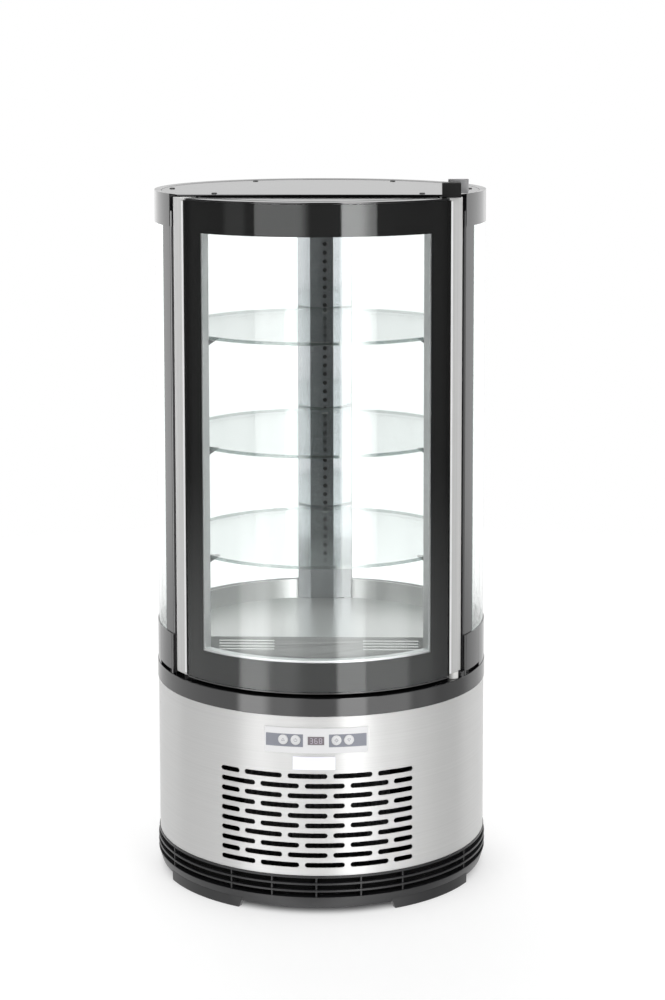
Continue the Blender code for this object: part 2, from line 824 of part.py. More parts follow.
def fan_rotor(name, radius, hub_radius, hub_length, blade_count):
    """A hub with pitched blades about Z, centred on the origin."""
    rotor = cylinder(name, hub_radius, hub_length, (0, 0, 0))
    chord = hub_length * FAN_CHORD_SHARE
    tip = math.sqrt(radius ** 2 - (chord / 2) ** 2)
    for index in range(blade_count):
        blade = box(
            f"{name}_blade_{index}",
            (hub_radius / 2, -chord / 2, -SEAT_MARGIN),
            (tip, chord / 2, SEAT_MARGIN),
            True,
        )
        spin = Matrix.Rotation(math.radians(360 * index / blade_count), 4, "Z")
        pitch = Matrix.Rotation(math.radians(FAN_PITCH_ANGLE), 4, "X")
        blade.matrix_world = spin @ pitch @ Matrix.Translation(blade.location)
        join(rotor, blade)
        blade.parent = rotor
    return rotor


def add_compressor():
    radius = COMPRESSOR_RADIUS
    shoulder = radius - COMPRESSOR_FOOT_WIDTH
    foot = radius + COMPRESSOR_FOOT_WIDTH
    foot_top = COMPRESSOR_FOOT_HEIGHT
    height = COMPRESSOR_HEIGHT
    pot = turned("compressor", [
        (0, height), (radius / 2, height), (shoulder, height - COMPRESSOR_DOME / 2),
        (radius, height - COMPRESSOR_DOME), (radius, COMPRESSOR_DOME), (shoulder, foot_top + SEAT_MARGIN),
        (foot, foot_top), (foot, 0), (0, 0),
    ])
    pot.location = (*on_plan(base_inner - COMPRESSOR_FROM_WALL - foot, -135), unit_floor)
    finish(pot, (0.02, 0.02, 0.02), 0.35)


def add_condenser():
    half = CONDENSER_WIDTH / 2
    front = CONDENSER_FROM_WALL - shell_inner
    back = front + CONDENSER_DEPTH
    coil = prism(
        "condenser_coil", [fin_outline(-half, half, front, back)],
        unit_floor, unit_floor + CONDENSER_HEIGHT,
    )
    finish(coil, (0.55, 0.5, 0.45), 0.5, 0.8)
    plate_front = back + 5 * GAP + SEAT_MARGIN
    plate_back = plate_front + SHROUD_THICKNESS
    fan_z = unit_floor + SHROUD_HEIGHT / 2
    hub_front = plate_back + FAN_SPACE
    bar_front = hub_front + FAN_HUB_LENGTH + GAP
    bar_back = bar_front + CROSSBAR_THICKNESS
    half = SHROUD_WIDTH / 2
    shroud = box(
        "condenser_fan_shroud", (-half, plate_front, unit_floor), (half, plate_back, unit_floor + SHROUD_HEIGHT)
    )
    lay = (math.radians(90), 0, 0)
    cut(shroud, cylinder(
        "shroud_hole", FAN_RADIUS + FAN_TIP_CLEARANCE, 4 * REACH, (0, plate_front, fan_z), lay, 32, True
    ))
    bar = CROSSBAR_WIDTH / 2
    join(shroud, box(
        "crossbar", (-bar, bar_front, unit_floor), (bar, bar_back, unit_floor + SHROUD_HEIGHT), True
    ))
    leg_height = SHROUD_HEIGHT / 2 - FAN_RADIUS - FAN_TIP_CLEARANCE - REACH
    for name, bottom in (("lower_leg", unit_floor), ("upper_leg", unit_floor + SHROUD_HEIGHT - leg_height)):
        join(shroud, box(
            name,
            (-bar + GAP, plate_back - SHROUD_THICKNESS / 2, bottom + GAP),
            (bar - GAP, bar_back - CROSSBAR_THICKNESS / 2, bottom + leg_height - GAP),
            True,
        ))
    motor_middle = bar_back - CROSSBAR_THICKNESS / 2 + MOTOR_LENGTH / 2
    join(shroud, cylinder("motor_can", MOTOR_RADIUS, MOTOR_LENGTH, (0, motor_middle, fan_z), lay, 24, True))
    finish(shroud, (0.3, 0.31, 0.31), 0.5, 0.7)
    rotor = fan_rotor("condenser_fan_blade", FAN_RADIUS, FAN_HUB_RADIUS, FAN_HUB_LENGTH, 5)
    centre = (0, (hub_front + bar_front - GAP) / 2, fan_z)
    rotor.location = centre
    rotor.rotation_euler = lay
    finish(rotor, (0.7, 0.7, 0.7), 0.5)
    hang([rotor], "condenser_fan_axis", centre)


# Collar, chamber floor and evaporator

def add_collar():
    ledge = collar_inner - COLLAR_LEDGE
    ledge_top = collar_bottom + COLLAR_LEDGE_THICKNESS
    collar = turned("collar_ring", [
        (RING_RADIUS, collar_top), (RING_RADIUS, collar_bottom), (ledge, collar_bottom),
        (ledge, ledge_top), (collar_inner, ledge_top), (collar_inner, collar_top),
    ])
    deck_radius = collar_inner + SEAT_MARGIN
    deck_angle = math.degrees(math.acos(-sill_back / deck_radius))
    join(collar, prism(
        "collar_deck", [arc(deck_radius, -deck_angle, deck_angle)],
        collar_top - DECK_THICKNESS, collar_top - GAP / 3, True,
    ))
    join(collar, sector(
        "hinge_boss", collar_inner + SEAT_MARGIN, band_radius, BOSS_START, BOSS_END,
        collar_top - DECK_THICKNESS / 2, collar_top + BOSS_HEIGHT, True,
    ))
    cut(collar, cylinder(
        "deck_bore", PIN_DIAMETER / 2 + PIN_CLEARANCE, 6 * DECK_THICKNESS,
        (hinge_x, hinge_y, collar_top), helper=True,
    ))
    gloss_black(collar)


def add_chamber():
    """The insulated tub, the coil and fan inside it, and the steel pan above."""
    tub_radius = collar_inner - 4 * GAP / 3
    neck_radius = frame_inner_radius - 7 * GAP
    neck = collar_top - 5 * GAP / 3
    tub = turned("evaporator_tub", [
        (0, tub_top), (neck_radius, tub_top), (neck_radius, neck), (tub_radius, neck),
        (tub_radius, tub_bottom), (0, tub_bottom),
    ])
    cut(tub, front_block("tub_front", chamber_front))
    hollow = d_outline(neck_radius - TUB_WALL, chamber_front + TUB_WALL)
    cut(tub, prism("tub_hollow", [hollow], tub_floor, tub_top + REACH, True))
    finish(tub, (0.85, 0.85, 0.83), 0.6)

    coil = prism(
        "evaporator_coil", [fin_outline(-COIL_WIDTH / 2, COIL_WIDTH / 2, coil_front, coil_back)],
        chamber_unit_floor, chamber_unit_floor + COIL_HEIGHT,
    )
    finish(coil, (0.72, 0.73, 0.73), 0.4, 0.9)
    add_chamber_fan()

    pan_radius = frame_inner_radius - 5 * GAP / 3
    pan = prism(
        "chamber_floor", [d_outline(pan_radius, chamber_front)], pan_bottom, pan_top + PAN_WALL_HEIGHT
    )
    room = d_outline(pan_radius - PAN_THICKNESS, chamber_front - REACH)
    cut(pan, prism("pan_room", [room], pan_top, pan_top + PAN_WALL_HEIGHT + REACH, True))
    cut(pan, column_notch("pan_notch"))
    slot_front = column_front + AIR_SLOT_SETBACK
    cut(pan, box(
        "air_slot",
        (-AIR_SLOT_HALF, slot_front, pan_bottom - REACH),
        (AIR_SLOT_HALF, slot_front + AIR_SLOT_WIDTH, pan_top + REACH),
        True,
    ))
    brushed_steel(pan)


def add_chamber_fan():
    half = CHAMBER_FAN_SIZE / 2
    bottom = chamber_unit_floor
    top = bottom + CHAMBER_FAN_HEIGHT
    hub_height = CHAMBER_FAN_HUB_HEIGHT
    frame = box(
        "evaporator_fan_frame",
        (-half, chamber_fan_y - half, bottom),
        (half, chamber_fan_y + half, top),
    )
    centre = (0, chamber_fan_y, (bottom + top) / 2)
    cut(frame, cylinder("fan_throat", CHAMBER_FAN_RADIUS, 2 * CHAMBER_FAN_SIZE, centre, sides=32, helper=True))
    spoke_end = half - 2 * SEAT_MARGIN
    join(frame, box(
        "fan_spokes",
        (-CROSSBAR_WIDTH / 4, chamber_fan_y - spoke_end, bottom + GAP),
        (CROSSBAR_WIDTH / 4, chamber_fan_y + spoke_end, bottom + hub_height - GAP),
        True,
    ))
    join(frame, cylinder(
        "fan_hub", FAN_HUB_RADIUS, hub_height - GAP,
        (0, chamber_fan_y, bottom + (hub_height + GAP) / 2), helper=True,
    ))
    black_plastic(frame)
    rotor_bottom = bottom + hub_height + GAP
    rotor_length = top - rotor_bottom - FAN_SPACE
    rotor = fan_rotor(
        "evaporator_fan_blade", CHAMBER_FAN_RADIUS - FAN_SPACE, FAN_HUB_RADIUS, rotor_length, 7
    )
    middle = (0, chamber_fan_y, rotor_bottom + rotor_length / 2)
    rotor.location = middle
    black_plastic(rotor)
    hang([rotor], "evaporator_fan_axis", middle)


# Fixed glass, column and front frame

def add_fixed_glass():
    band = turned("glass_base_ring", [
        (band_radius, band_ring_top), (band_radius, band_ring_bottom),
        (frame_inner_radius, band_ring_bottom), (frame_inner_radius, band_ring_top),
    ])
    cut(band, front_wedge("band_opening"), column_notch("band_notch"))
    for name, side in (("left_relief", -1), ("right_relief", 1)):
        start, end = sorted((side * NOTCH_START, side * NOTCH_END))
        cut(band, sector(
            name, band_radius - NOTCH_DEPTH, RING_RADIUS + REACH, start, end,
            collar_top - REACH, band_ring_bottom + NOTCH_HEIGHT, True,
        ))
    gloss_black(band)
    start = frame_angle + POST_ANGLE + arc_angle(SEAT_MARGIN, glass_radius)
    for side_name, side in (("left", -1), ("right", 1)):
        for layer, outer in (("outer", glass_radius), ("inner", inner_pane_radius)):
            column_edge = COLUMN_HALF + COLUMN_CLEARANCE
            end = 180 - math.degrees(math.asin(column_edge / (outer - PANE_THICKNESS)))
            low, high = sorted((side * start, side * end))
            clear_glass(curved_panel(
                f"{side_name}_{layer}_glass", outer, PANE_THICKNESS, pane_bottom, pane_top, low, high
            ))


def add_column():
    """A folded duct of polished steel; cold air leaves through the row of holes."""
    outline = [
        (-COLUMN_FACE_HALF, column_front), (COLUMN_FACE_HALF, column_front), (COLUMN_HALF, column_side),
        (COLUMN_HALF, column_back), (-COLUMN_HALF, column_back), (-COLUMN_HALF, column_side),
    ]
    column = prism(
        "rear_column", [outline, inset(outline, COLUMN_WALL)], pan_top + GAP, liner_bottom - GAP
    )
    first = pan_top + AIR_HOLE_LIFT
    cut(column, merge_helpers("air_holes", [
        radial_bar(
            f"air_hole_{index}", AIR_HOLE_DIAMETER / 2, 180, first + index * AIR_HOLE_PITCH,
            column_front - REACH, column_front + COLUMN_WALL + REACH, 6, True,
        )
        for index in range(AIR_HOLE_COUNT)
    ]))
    brushed_steel(column)


def add_posts():
    flange_back = frame_y + POST_FLANGE
    end = frame_angle + POST_ANGLE
    meeting = math.degrees(math.acos(-flange_back / frame_inner_radius))
    front_corner = on_plan(-frame_y / math.cos(math.radians(frame_angle)), frame_angle)
    outline = [(flange_x, frame_y), front_corner]
    outline += arc(glass_radius, frame_angle, end) + arc(frame_inner_radius, end, meeting)
    outline.append((flange_x, flange_back))
    for name, side in (("left_post", -1), ("right_post", 1)):
        post = prism(name, [[(side * x, y) for x, y in outline]], pane_bottom, rail_seat - GAP)
        gloss_black(post)


def add_sill():
    """A steel plate behind the foot of the door, with louvres for the cold air."""
    top = band_ring_bottom + SILL_HEIGHT
    sill = box("front_sill", (-sill_half, frame_y, band_ring_bottom), (sill_half, sill_back, top))
    for side in (-1, 1):
        left, right = sorted((side * LOUVRE_INNER, side * LOUVRE_OUTER))
        for row in range(LOUVRE_ROWS):
            slot_top = top - LOUVRE_DROP - row * LOUVRE_PITCH
            cut(sill, box(
                f"louvre_{side}_{row}",
                (left, frame_y - REACH, slot_top - LOUVRE_HEIGHT),
                (right, sill_back + REACH, slot_top),
                True,
            ))
    brushed_steel(sill)


def add_top():
    """The top ring with the rail across its front, the ceiling, the lamp and the cover."""
    ring_outer = RING_RADIUS - TOP_RING_INSET
    skin_inner = ring_outer - TOP_RING_SKIN
    collar = frame_inner_radius - 4 * GAP / 3
    ring_inner = frame_inner_radius - LINER_LIFT
    recess = RING_RADIUS - COVER_INSET
    ring = turned("top_ring", [
        (ring_outer, top_ring_top), (ring_outer, top_ring_bottom), (skin_inner, top_ring_bottom),
        (skin_inner, rail_seat), (collar, rail_seat), (collar, liner_bottom), (ring_inner, liner_bottom),
        (ring_inner, cover_seat), (recess, cover_seat), (recess, top_ring_top),
    ])
    cut(ring, front_wedge("top_opening"))
    gloss_black(ring)

    rail_back = frame_y + RAIL_DEPTH
    rail_half = gasket_outer_x + SEAT_MARGIN
    rail = along_x("top_front_rail", [[
        (frame_y, rail_seat), (rail_back - RAIL_LIP, rail_seat), (rail_back - RAIL_LIP, top_ring_bottom),
        (rail_back, top_ring_bottom), (rail_back, cover_seat), (frame_y, cover_seat),
    ]], -rail_half, rail_half)
    gloss_black(rail)

    liner_front = rail_back + GAP
    liner = prism(
        "ceiling_liner", [d_outline(ring_inner - GAP, liner_front)], liner_bottom, liner_top
    )
    finish(liner, (0.75, 0.75, 0.74), 0.4, 0.3)
    lamp = box(
        "led_lamp",
        (-LAMP_LENGTH / 2, liner_front, liner_bottom - GAP - LAMP_HEIGHT),
        (LAMP_LENGTH / 2, liner_front + LAMP_DEPTH, liner_bottom - GAP),
    )
    finish(lamp, (0.9, 0.9, 0.88), 0.4)
    cover = prism(
        "top_cover", [d_outline(recess - 5 * GAP / 3, frame_y)],
        cover_seat + GAP, cover_seat + GAP + COVER_THICKNESS,
    )
    gloss_black(cover)


# Shelves

def add_shelves():
    arm_front = frame_y + ARM_SETBACK
    root = flange_x - GAP
    clip_back = column_front - GAP
    for number, lift in enumerate(SHELF_LIFTS, 1):
        top = pan_top + lift
        bottom = top - SHELF_THICKNESS
        seat = bottom - GAP
        clear_glass(turned(f"shelf_{number}", [
            (0, top), (shelf_radius, top), (shelf_radius, bottom), (0, bottom),
        ]))
        for side_name, side in (("left", -1), ("right", 1)):
            arm = along_y(f"shelf_{number}_{side_name}_arm", [[
                (side * root, seat), (side * root, seat - ARM_ROOT),
                (side * (root - ARM_LENGTH), seat - ARM_TIP), (side * (root - ARM_LENGTH), seat),
            ]], arm_front, arm_front + ARM_THICKNESS)
            finish(arm, (0.35, 0.36, 0.36), 0.4, 0.8)
        clip = along_x(f"shelf_{number}_rear_clip", [[
            (clip_back, seat - CLIP_THICKNESS), (clip_back, top), (shelf_radius + GAP, top),
            (shelf_radius + GAP, seat), (clip_back - CLIP_REACH, seat),
            (clip_back - CLIP_REACH, seat - CLIP_THICKNESS),
        ]], -CLIP_WIDTH / 2, CLIP_WIDTH / 2)
        finish(clip, (0.6, 0.6, 0.6), 0.35, 0.9)


# Door

def cap_outline():
    """The plan that the top and bottom caps fill between the two edge profiles."""
    front = Vector(on_plan(door_radius, STRIP_ANGLE))
    back = Vector((profile_inner_x, door_back_y))
    along = (front - back).normalized()
    back.x -= GAP / abs(along.y)
    outside = back + along * 2 * (door_radius - profile_inner_x)
    return [
        (-back.x, back.y), (back.x, back.y), tuple(outside), (outside.x, -FAR),
        (-outside.x, -FAR), (-outside.x, outside.y),
    ]


def add_door():
    door = []
    strip_bottom = door_bottom + PROFILE_LIFT
    glass_angle = STRIP_ANGLE - arc_angle(2 * GAP, door_radius)
    lip_bottom = door_bottom + CAP_LIP
    lip_top = door_top - CAP_LIP
    outer_glass = clear_glass(curved_panel(
        "door_outer_glass", door_radius, DOOR_PANE_THICKNESS, lip_bottom + GAP, lip_top - GAP,
        -glass_angle, glass_angle,
    ))
    inner_angle = glass_angle - 1
    inner_glass = clear_glass(curved_panel(
        "door_inner_glass", door_inner_radius - GAP, DOOR_PANE_THICKNESS, core_bottom, core_top,
        -inner_angle, inner_angle,
    ))
    frame = curved_panel(
        "door_spacer_frame", door_core_radius, door_core_radius - door_inner_radius, core_bottom, core_top,
        -glass_angle, glass_angle,
    )
    cut(frame, sector(
        "door_window", door_inner_radius - REACH, door_radius + REACH, -BORDER_ANGLE, BORDER_ANGLE,
        window_bottom, window_top, True,
    ))
    spacer_angle = BORDER_ANGLE + arc_angle(SPACER_SETBACK, door_core_radius)
    cut(frame, sector(
        "spacer_window", door_inner_radius - REACH, door_core_radius - BORDER_THICKNESS,
        -spacer_angle, spacer_angle, window_bottom - SPACER_SETBACK, window_top + SPACER_SETBACK, True,
    ))
    black_plastic(frame)

    groove_outer = door_radius - CAP_GROOVE_START
    groove_inner = door_radius - CAP_GROOVE_END
    groove_floor = door_top - CAP_GROOVE_DEPTH
    top_cap = turned("door_top_cap", [
        (door_radius, door_top), (door_radius, lip_top), (door_core_radius, lip_top),
        (door_core_radius, door_top - CAP_HEIGHT), (cap_inner_radius, door_top - CAP_HEIGHT),
        (cap_inner_radius, door_top), (groove_inner, door_top), (groove_inner, groove_floor),
        (groove_outer, groove_floor), (groove_outer, door_top),
    ])
    bottom_cap = turned("door_bottom_cap", [
        (door_core_radius, door_bottom + BOTTOM_CAP_HEIGHT), (door_core_radius, lip_bottom),
        (door_radius, lip_bottom), (door_radius, door_bottom), (cap_inner_radius, door_bottom),
        (cap_inner_radius, door_bottom + BOTTOM_CAP_HEIGHT),
    ])
    for cap in (top_cap, bottom_cap):
        limits = prism(f"{cap.name}_limits", [cap_outline()], door_bottom - REACH, door_top + REACH, True)
        combine(cap, limits, "INTERSECT")
        gloss_black(cap)

    outline = arc(door_radius, STRIP_ANGLE, DOOR_HALF_ANGLE) + [(profile_inner_x, door_back_y)]
    profiles = []
    for name, side in (("door_handle_profile", -1), ("door_hinge_profile", 1)):
        profile = prism(name, [[(side * x, y) for x, y in outline]], strip_bottom, door_top)
        finish(profile, (0.62, 0.62, 0.61), 0.3, 1.0)
        profiles.append(profile)
    for name, height in (("lower_bore", strip_bottom), ("upper_bore", door_top)):
        cut(profiles[1], cylinder(
            name, PIN_DIAMETER / 2 + PIN_CLEARANCE, 2 * PIN_BORE_DEPTH, (hinge_x, hinge_y, height), helper=True
        ))

    gasket_bottom = door_bottom + GASKET_LIFT
    gasket_top = door_top - GASKET_DROP
    gasket_front = door_back_y + GAP
    gasket = box(
        "door_gasket",
        (-gasket_outer_x, gasket_front, gasket_bottom),
        (gasket_outer_x, gasket_front + GASKET_THICKNESS, gasket_top),
    )
    cut(gasket, box(
        "gasket_opening",
        (-gasket_inner_x, gasket_front - REACH, gasket_bottom + GASKET_WIDTH),
        (gasket_inner_x, gasket_front + GASKET_THICKNESS + REACH, gasket_top - GASKET_WIDTH),
        True,
    ))
    finish(gasket, (0.03, 0.03, 0.03), 0.7)
    door += [outer_glass, inner_glass, frame, top_cap, bottom_cap, *profiles, gasket]
    hang(door, "door_axis", (hinge_x, hinge_y, collar_top))


def add_hinge():
    """The fixed half of the hinge: bracket and block on top, bush and pin below."""
    block_bottom = door_top + GAP
    block_top = block_bottom + HINGE_BLOCK_HEIGHT
    bracket_front = frame_y - 2 * SEAT_MARGIN
    foot_bottom = top_ring_top + GAP
    foot_back = bracket_front + BRACKET_DEPTH + BRACKET_THICKNESS
    face_back = bracket_front + BRACKET_THICKNESS
    bracket = along_x("top_hinge_bracket", [[
        (bracket_front, foot_bottom), (foot_back, foot_bottom), (foot_back, foot_bottom + BRACKET_THICKNESS),
        (face_back, foot_bottom + BRACKET_THICKNESS), (face_back, block_top + BRACKET_RISE),
        (bracket_front, block_top + BRACKET_RISE),
    ]], hinge_x - BRACKET_INNER, hinge_x + BRACKET_OUTER)
    finish(bracket, (0.4, 0.41, 0.41), 0.4, 0.8)
    right = hinge_x + HINGE_BLOCK_OUTER
    block = box(
        "top_hinge_block",
        (right - HINGE_BLOCK_WIDTH, hinge_y - HINGE_BLOCK_FRONT, block_bottom),
        (right, bracket_front - GAP, block_top),
    )
    pin_tip = door_top - PIN_LENGTH_IN_DOOR
    pin_root = block_bottom + SEAT_MARGIN
    join(block, cylinder(
        "upper_pin", PIN_DIAMETER / 2, pin_root - pin_tip, (hinge_x, hinge_y, (pin_root + pin_tip) / 2),
        helper=True,
    ))
    finish(block, (0.03, 0.03, 0.03), 0.35)

    strip_bottom = door_bottom + PROFILE_LIFT
    bush_bottom = collar_top + GAP
    bush_top = strip_bottom - GAP
    bush = cylinder(
        "bottom_hinge_bush", BUSH_DIAMETER / 2, bush_top - bush_bottom,
        (hinge_x, hinge_y, (bush_bottom + bush_top) / 2),
    )
    cut(bush, cylinder(
        "bush_bore", PIN_DIAMETER / 2 + PIN_CLEARANCE, 4 * BUSH_DIAMETER, (hinge_x, hinge_y, bush_top),
        helper=True,
    ))
    finish(bush, (0.8, 0.8, 0.78), 0.4)
    pin_bottom = collar_top - DECK_THICKNESS - PIN_BELOW_DECK
    pin_top = strip_bottom + PIN_LENGTH_IN_DOOR
    pin = cylinder(
        "bottom_hinge_pin", PIN_DIAMETER / 2, pin_top - pin_bottom,
        (hinge_x, hinge_y, (pin_top + pin_bottom) / 2),
    )
    finish(pin, (0.6, 0.6, 0.6), 0.3, 1.0)


add_base_ring()
add_base_plate()
add_shell_and_panel()
add_controller()
add_power_inlet()
add_compressor()
add_condenser()
add_collar()
add_chamber()
add_fixed_glass()
add_column()
add_posts()
add_sill()
add_top()
add_shelves()
add_door()
add_hinge()
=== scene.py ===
"""Looks of a round refrigerated cake display case with a curved glass door.

Metres, +Z up. The case stands on the Z axis and its door faces -Y. Angles on plan are in
degrees from the front (-Y) towards +X.
"""

import math

import bmesh
import bpy
from mathutils import Matrix, Vector


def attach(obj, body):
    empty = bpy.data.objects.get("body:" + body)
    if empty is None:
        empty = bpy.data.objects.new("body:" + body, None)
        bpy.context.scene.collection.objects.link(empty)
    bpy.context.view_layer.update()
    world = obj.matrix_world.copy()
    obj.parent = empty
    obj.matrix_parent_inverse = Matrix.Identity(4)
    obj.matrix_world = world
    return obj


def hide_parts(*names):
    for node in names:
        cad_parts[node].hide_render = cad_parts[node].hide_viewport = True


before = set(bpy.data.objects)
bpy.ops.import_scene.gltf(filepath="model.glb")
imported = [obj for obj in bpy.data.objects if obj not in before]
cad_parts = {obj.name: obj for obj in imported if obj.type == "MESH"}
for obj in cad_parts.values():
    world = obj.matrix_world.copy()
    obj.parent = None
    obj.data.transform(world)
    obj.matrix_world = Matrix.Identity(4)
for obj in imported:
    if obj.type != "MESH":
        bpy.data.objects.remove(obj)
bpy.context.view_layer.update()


# Camera: a long lens a little above the top of the case. The front of the case is turned
# slightly to the left of it.
CAMERA_PLACE = (0.0111, -3.293, 1.1874)
CASE_TURN = math.radians(1.6)
CAMERA_TILT = math.radians(90 - 6.5)
CAMERA_ROLL = math.radians(-0.095)
turn = Matrix.Rotation(CASE_TURN, 4, "Z")
look = Matrix.Rotation(CAMERA_TILT, 4, "X") @ Matrix.Rotation(CAMERA_ROLL, 4, "Z")
camera = bpy.data.objects.new("camera", bpy.data.cameras.new("camera"))
camera.data.lens = 83.92
camera.data.shift_x = 0.0042
camera.data.shift_y = -0.1971
camera.matrix_world = turn @ Matrix.Translation(CAMERA_PLACE) @ look
bpy.context.scene.collection.objects.link(camera)
bpy.context.scene.camera = camera
bpy.context.scene.view_settings.view_transform = "Standard"
# Light passes four double panes and the shelves on its way through the case
bpy.context.scene.cycles.transparent_max_bounces = 32


# Studio: a white floor, white all round, two soft boxes in front and one high up behind. What the
# steel and the gloss black mirror is drawn in the sky: tall bright bands before a dark front, and the
# pale floor. The floor itself glows a little for the camera; the glow fades out beneath the rim of
# the case, which paints a shadow under it.
class Value:
    """A shader value, so that shader sums are written as Python sums."""

    def __init__(self, nodes, socket):
        self.nodes = nodes
        self.socket = socket

    def maths(self, operation, *terms):
        return self.nodes.add("ShaderNodeMath", {"operation": operation}, dict(enumerate(terms)))

    def __add__(self, other):
        return self.maths("ADD", self, other)

    def __sub__(self, other):
        return self.maths("SUBTRACT", self, other)

    def __rsub__(self, other):
        return self.maths("SUBTRACT", other, self)

    def __mul__(self, other):
        return self.maths("MULTIPLY", self, other)

    def __pow__(self, other):
        return self.maths("POWER", self, other)

    __radd__ = __add__
    __rmul__ = __mul__


class Nodes:
    """The nodes of one finish."""

    def __init__(self, owner):
        owner.use_nodes = True
        self.tree = owner.node_tree
        self.tree.nodes.clear()

    def add(self, kind, settings=None, inputs=None, output=0):
        """Add a node: its settings first, then the values or links of its sockets."""
        node = self.tree.nodes.new(kind)
        for name, value in (settings or {}).items():
            setattr(node, name, value)
        for name, value in (inputs or {}).items():
            socket = node.inputs[name]
            if isinstance(value, Value):
                self.tree.links.new(value.socket, socket)
            elif isinstance(value, tuple) and len(value) == 3 and socket.type == "RGBA":
                socket.default_value = (*value, 1)
            else:
                socket.default_value = value
        return Value(self, node.outputs[output]) if node.outputs else None

    def step(self, value, low, high):
        """A soft step from 0 at the low value to 1 at the high one."""
        return self.add(
            "ShaderNodeMapRange", {"interpolation_type": "SMOOTHSTEP"},
            {"Value": value, "From Min": low, "From Max": high},
        )


def on_plan(radius, angle):
    """The point on plan at an angle from the front."""
    return (radius * math.sin(math.radians(angle)), -radius * math.cos(math.radians(angle)))


def soft_box(name, angle, distance, width, power, height=1.25, tilt=0):
    """A tall lamp that faces the case, tilted down, and isn't seen by the camera itself."""
    lamp = bpy.data.objects.new(name, bpy.data.lights.new(name, "AREA"))
    lamp.data.shape = "RECTANGLE"
    lamp.data.size = width
    lamp.data.size_y = 2.4
    lamp.data.energy = power
    place = Matrix.Translation((*on_plan(distance, angle), height))
    aim = Matrix.Rotation(math.radians(angle), 4, "Z") @ Matrix.Rotation(math.radians(90 - tilt), 4, "X")
    lamp.matrix_world = place @ aim
    lamp.visible_camera = False
    lamp.visible_glossy = False
    bpy.context.scene.collection.objects.link(lamp)


soft_box("left_soft_box", -35, 2.6, 1.15, 14)
soft_box("right_soft_box", 30, 2.6, 1.05, 20)
soft_box("back_soft_box", -168, 1.9, 1.8, 32, 2.9, 54)

studio = bpy.data.worlds.new("studio")
bpy.context.scene.world = studio
air = Nodes(studio)
across, back, up = (
    air.add("ShaderNodeSeparateXYZ", {}, {0: air.add("ShaderNodeTexCoord", output="Generated")}, axis)
    for axis in "XYZ"
)
heading = across.maths("ARCTAN2", across, back * -1) * math.degrees(1)


def band(start, end, soft, tail=None):
    """A tall band between two headings, in degrees from the front; its end may be softer."""
    tail = tail or soft
    return air.step(heading, start - soft, start + soft) * (1 - air.step(heading, end - tail, end + tail))


dark_front = air.step(back * -1, -0.45, -0.35) * 0.88
behind = (band(-165, -112, 4) + band(112, 165, 4)) * 0.4
left_bands = band(-68, -52, 3) * 0.25 + band(-44.4, -9, 1, 5) * 1.4
right_band = band(16.3, 41, 1.2) * (4.6 - air.step(heading, 27, 40) * 2.8)
far_strip = (air.step(up, 0.0, 0.04) - air.step(up, 0.075, 0.105)) * 0.2 * air.step(back, 0.3, 0.6)
high_sides = air.step(up, 0.2, 0.5) * (band(-125, -50, 15) + band(50, 125, 15))
level = 1 - dark_front + behind + left_bands + right_band - far_strip + high_sides
floor_left = band(-57, -36, 3, 5) * 2.1 + band(-36, -14, 6) * 0.5
floor_right = band(13, 33, 2) * 2.0 + band(33, 66, 4) * 0.8
below = floor_left + floor_right - band(86, 124, 9) * 0.35 + 0.9
raised = air.step(up, -0.270, -0.175)
mirror_glow = raised * level + (1 - raised) * below
seen = air.add("ShaderNodeLightPath", output="Is Camera Ray") + air.add(
    "ShaderNodeLightPath", output="Is Transmission Ray")
mirrored = air.add("ShaderNodeLightPath", output="Is Glossy Ray")
through = air.add("ShaderNodeLightPath", output="Transparent Depth") * 0.035 + 1
glow = mirrored * mirror_glow + (1 - mirrored) * 0.72
air.add("ShaderNodeOutputWorld", {}, {"Surface": air.add(
    "ShaderNodeBackground", {}, {"Color": (1, 1, 1), "Strength": seen * through + (1 - seen) * glow})})

floor_shape = bmesh.new()
bmesh.ops.create_circle(floor_shape, cap_ends=True, segments=96, radius=2.3)
bmesh.ops.translate(floor_shape, verts=floor_shape.verts, vec=(0, 0, -0.0002))
floor_mesh = bpy.data.meshes.new("floor")
floor_shape.to_mesh(floor_mesh)
floor = bpy.data.objects.new("floor", floor_mesh)
bpy.context.scene.collection.objects.link(floor)
paper = bpy.data.materials.new("floor_paper")
paint = Nodes(paper)
lift = paint.add("ShaderNodeLightPath", output="Is Camera Ray") + paint.add(
    "ShaderNodeLightPath", output="Is Transmission Ray")
spot_on_floor = paint.add("ShaderNodeTexCoord", output="Object")
distance = paint.add("ShaderNodeVectorMath", {"operation": "LENGTH"}, {0: spot_on_floor}, 1)
faded = paint.step(distance, 0.9, 1.8)
# Painted shadow: the camera glow of the floor fades to nothing under the rim of the case.
outside_painted_shadow = paint.step(distance, 0.204, 0.238)
mirror_ray = paint.add("ShaderNodeLightPath", output="Is Glossy Ray")
paper_light = paint.add("ShaderNodeAddShader", {}, {
    0: paint.add("ShaderNodeBsdfDiffuse", {}, {"Color": (0.5, 0.5, 0.5)}),
    1: paint.add("ShaderNodeEmission", {}, {"Color": (1, 1, 1), "Strength": lift * outside_painted_shadow * 0.55}),
})
paint.add("ShaderNodeOutputMaterial", {}, {"Surface": paint.add("ShaderNodeMixShader", {}, {
    0: 1 - (1 - faded) * (1 - mirror_ray),
    1: paper_light,
    2: paint.add("ShaderNodeBsdfTransparent"),
})})
floor_mesh.materials.append(paper)
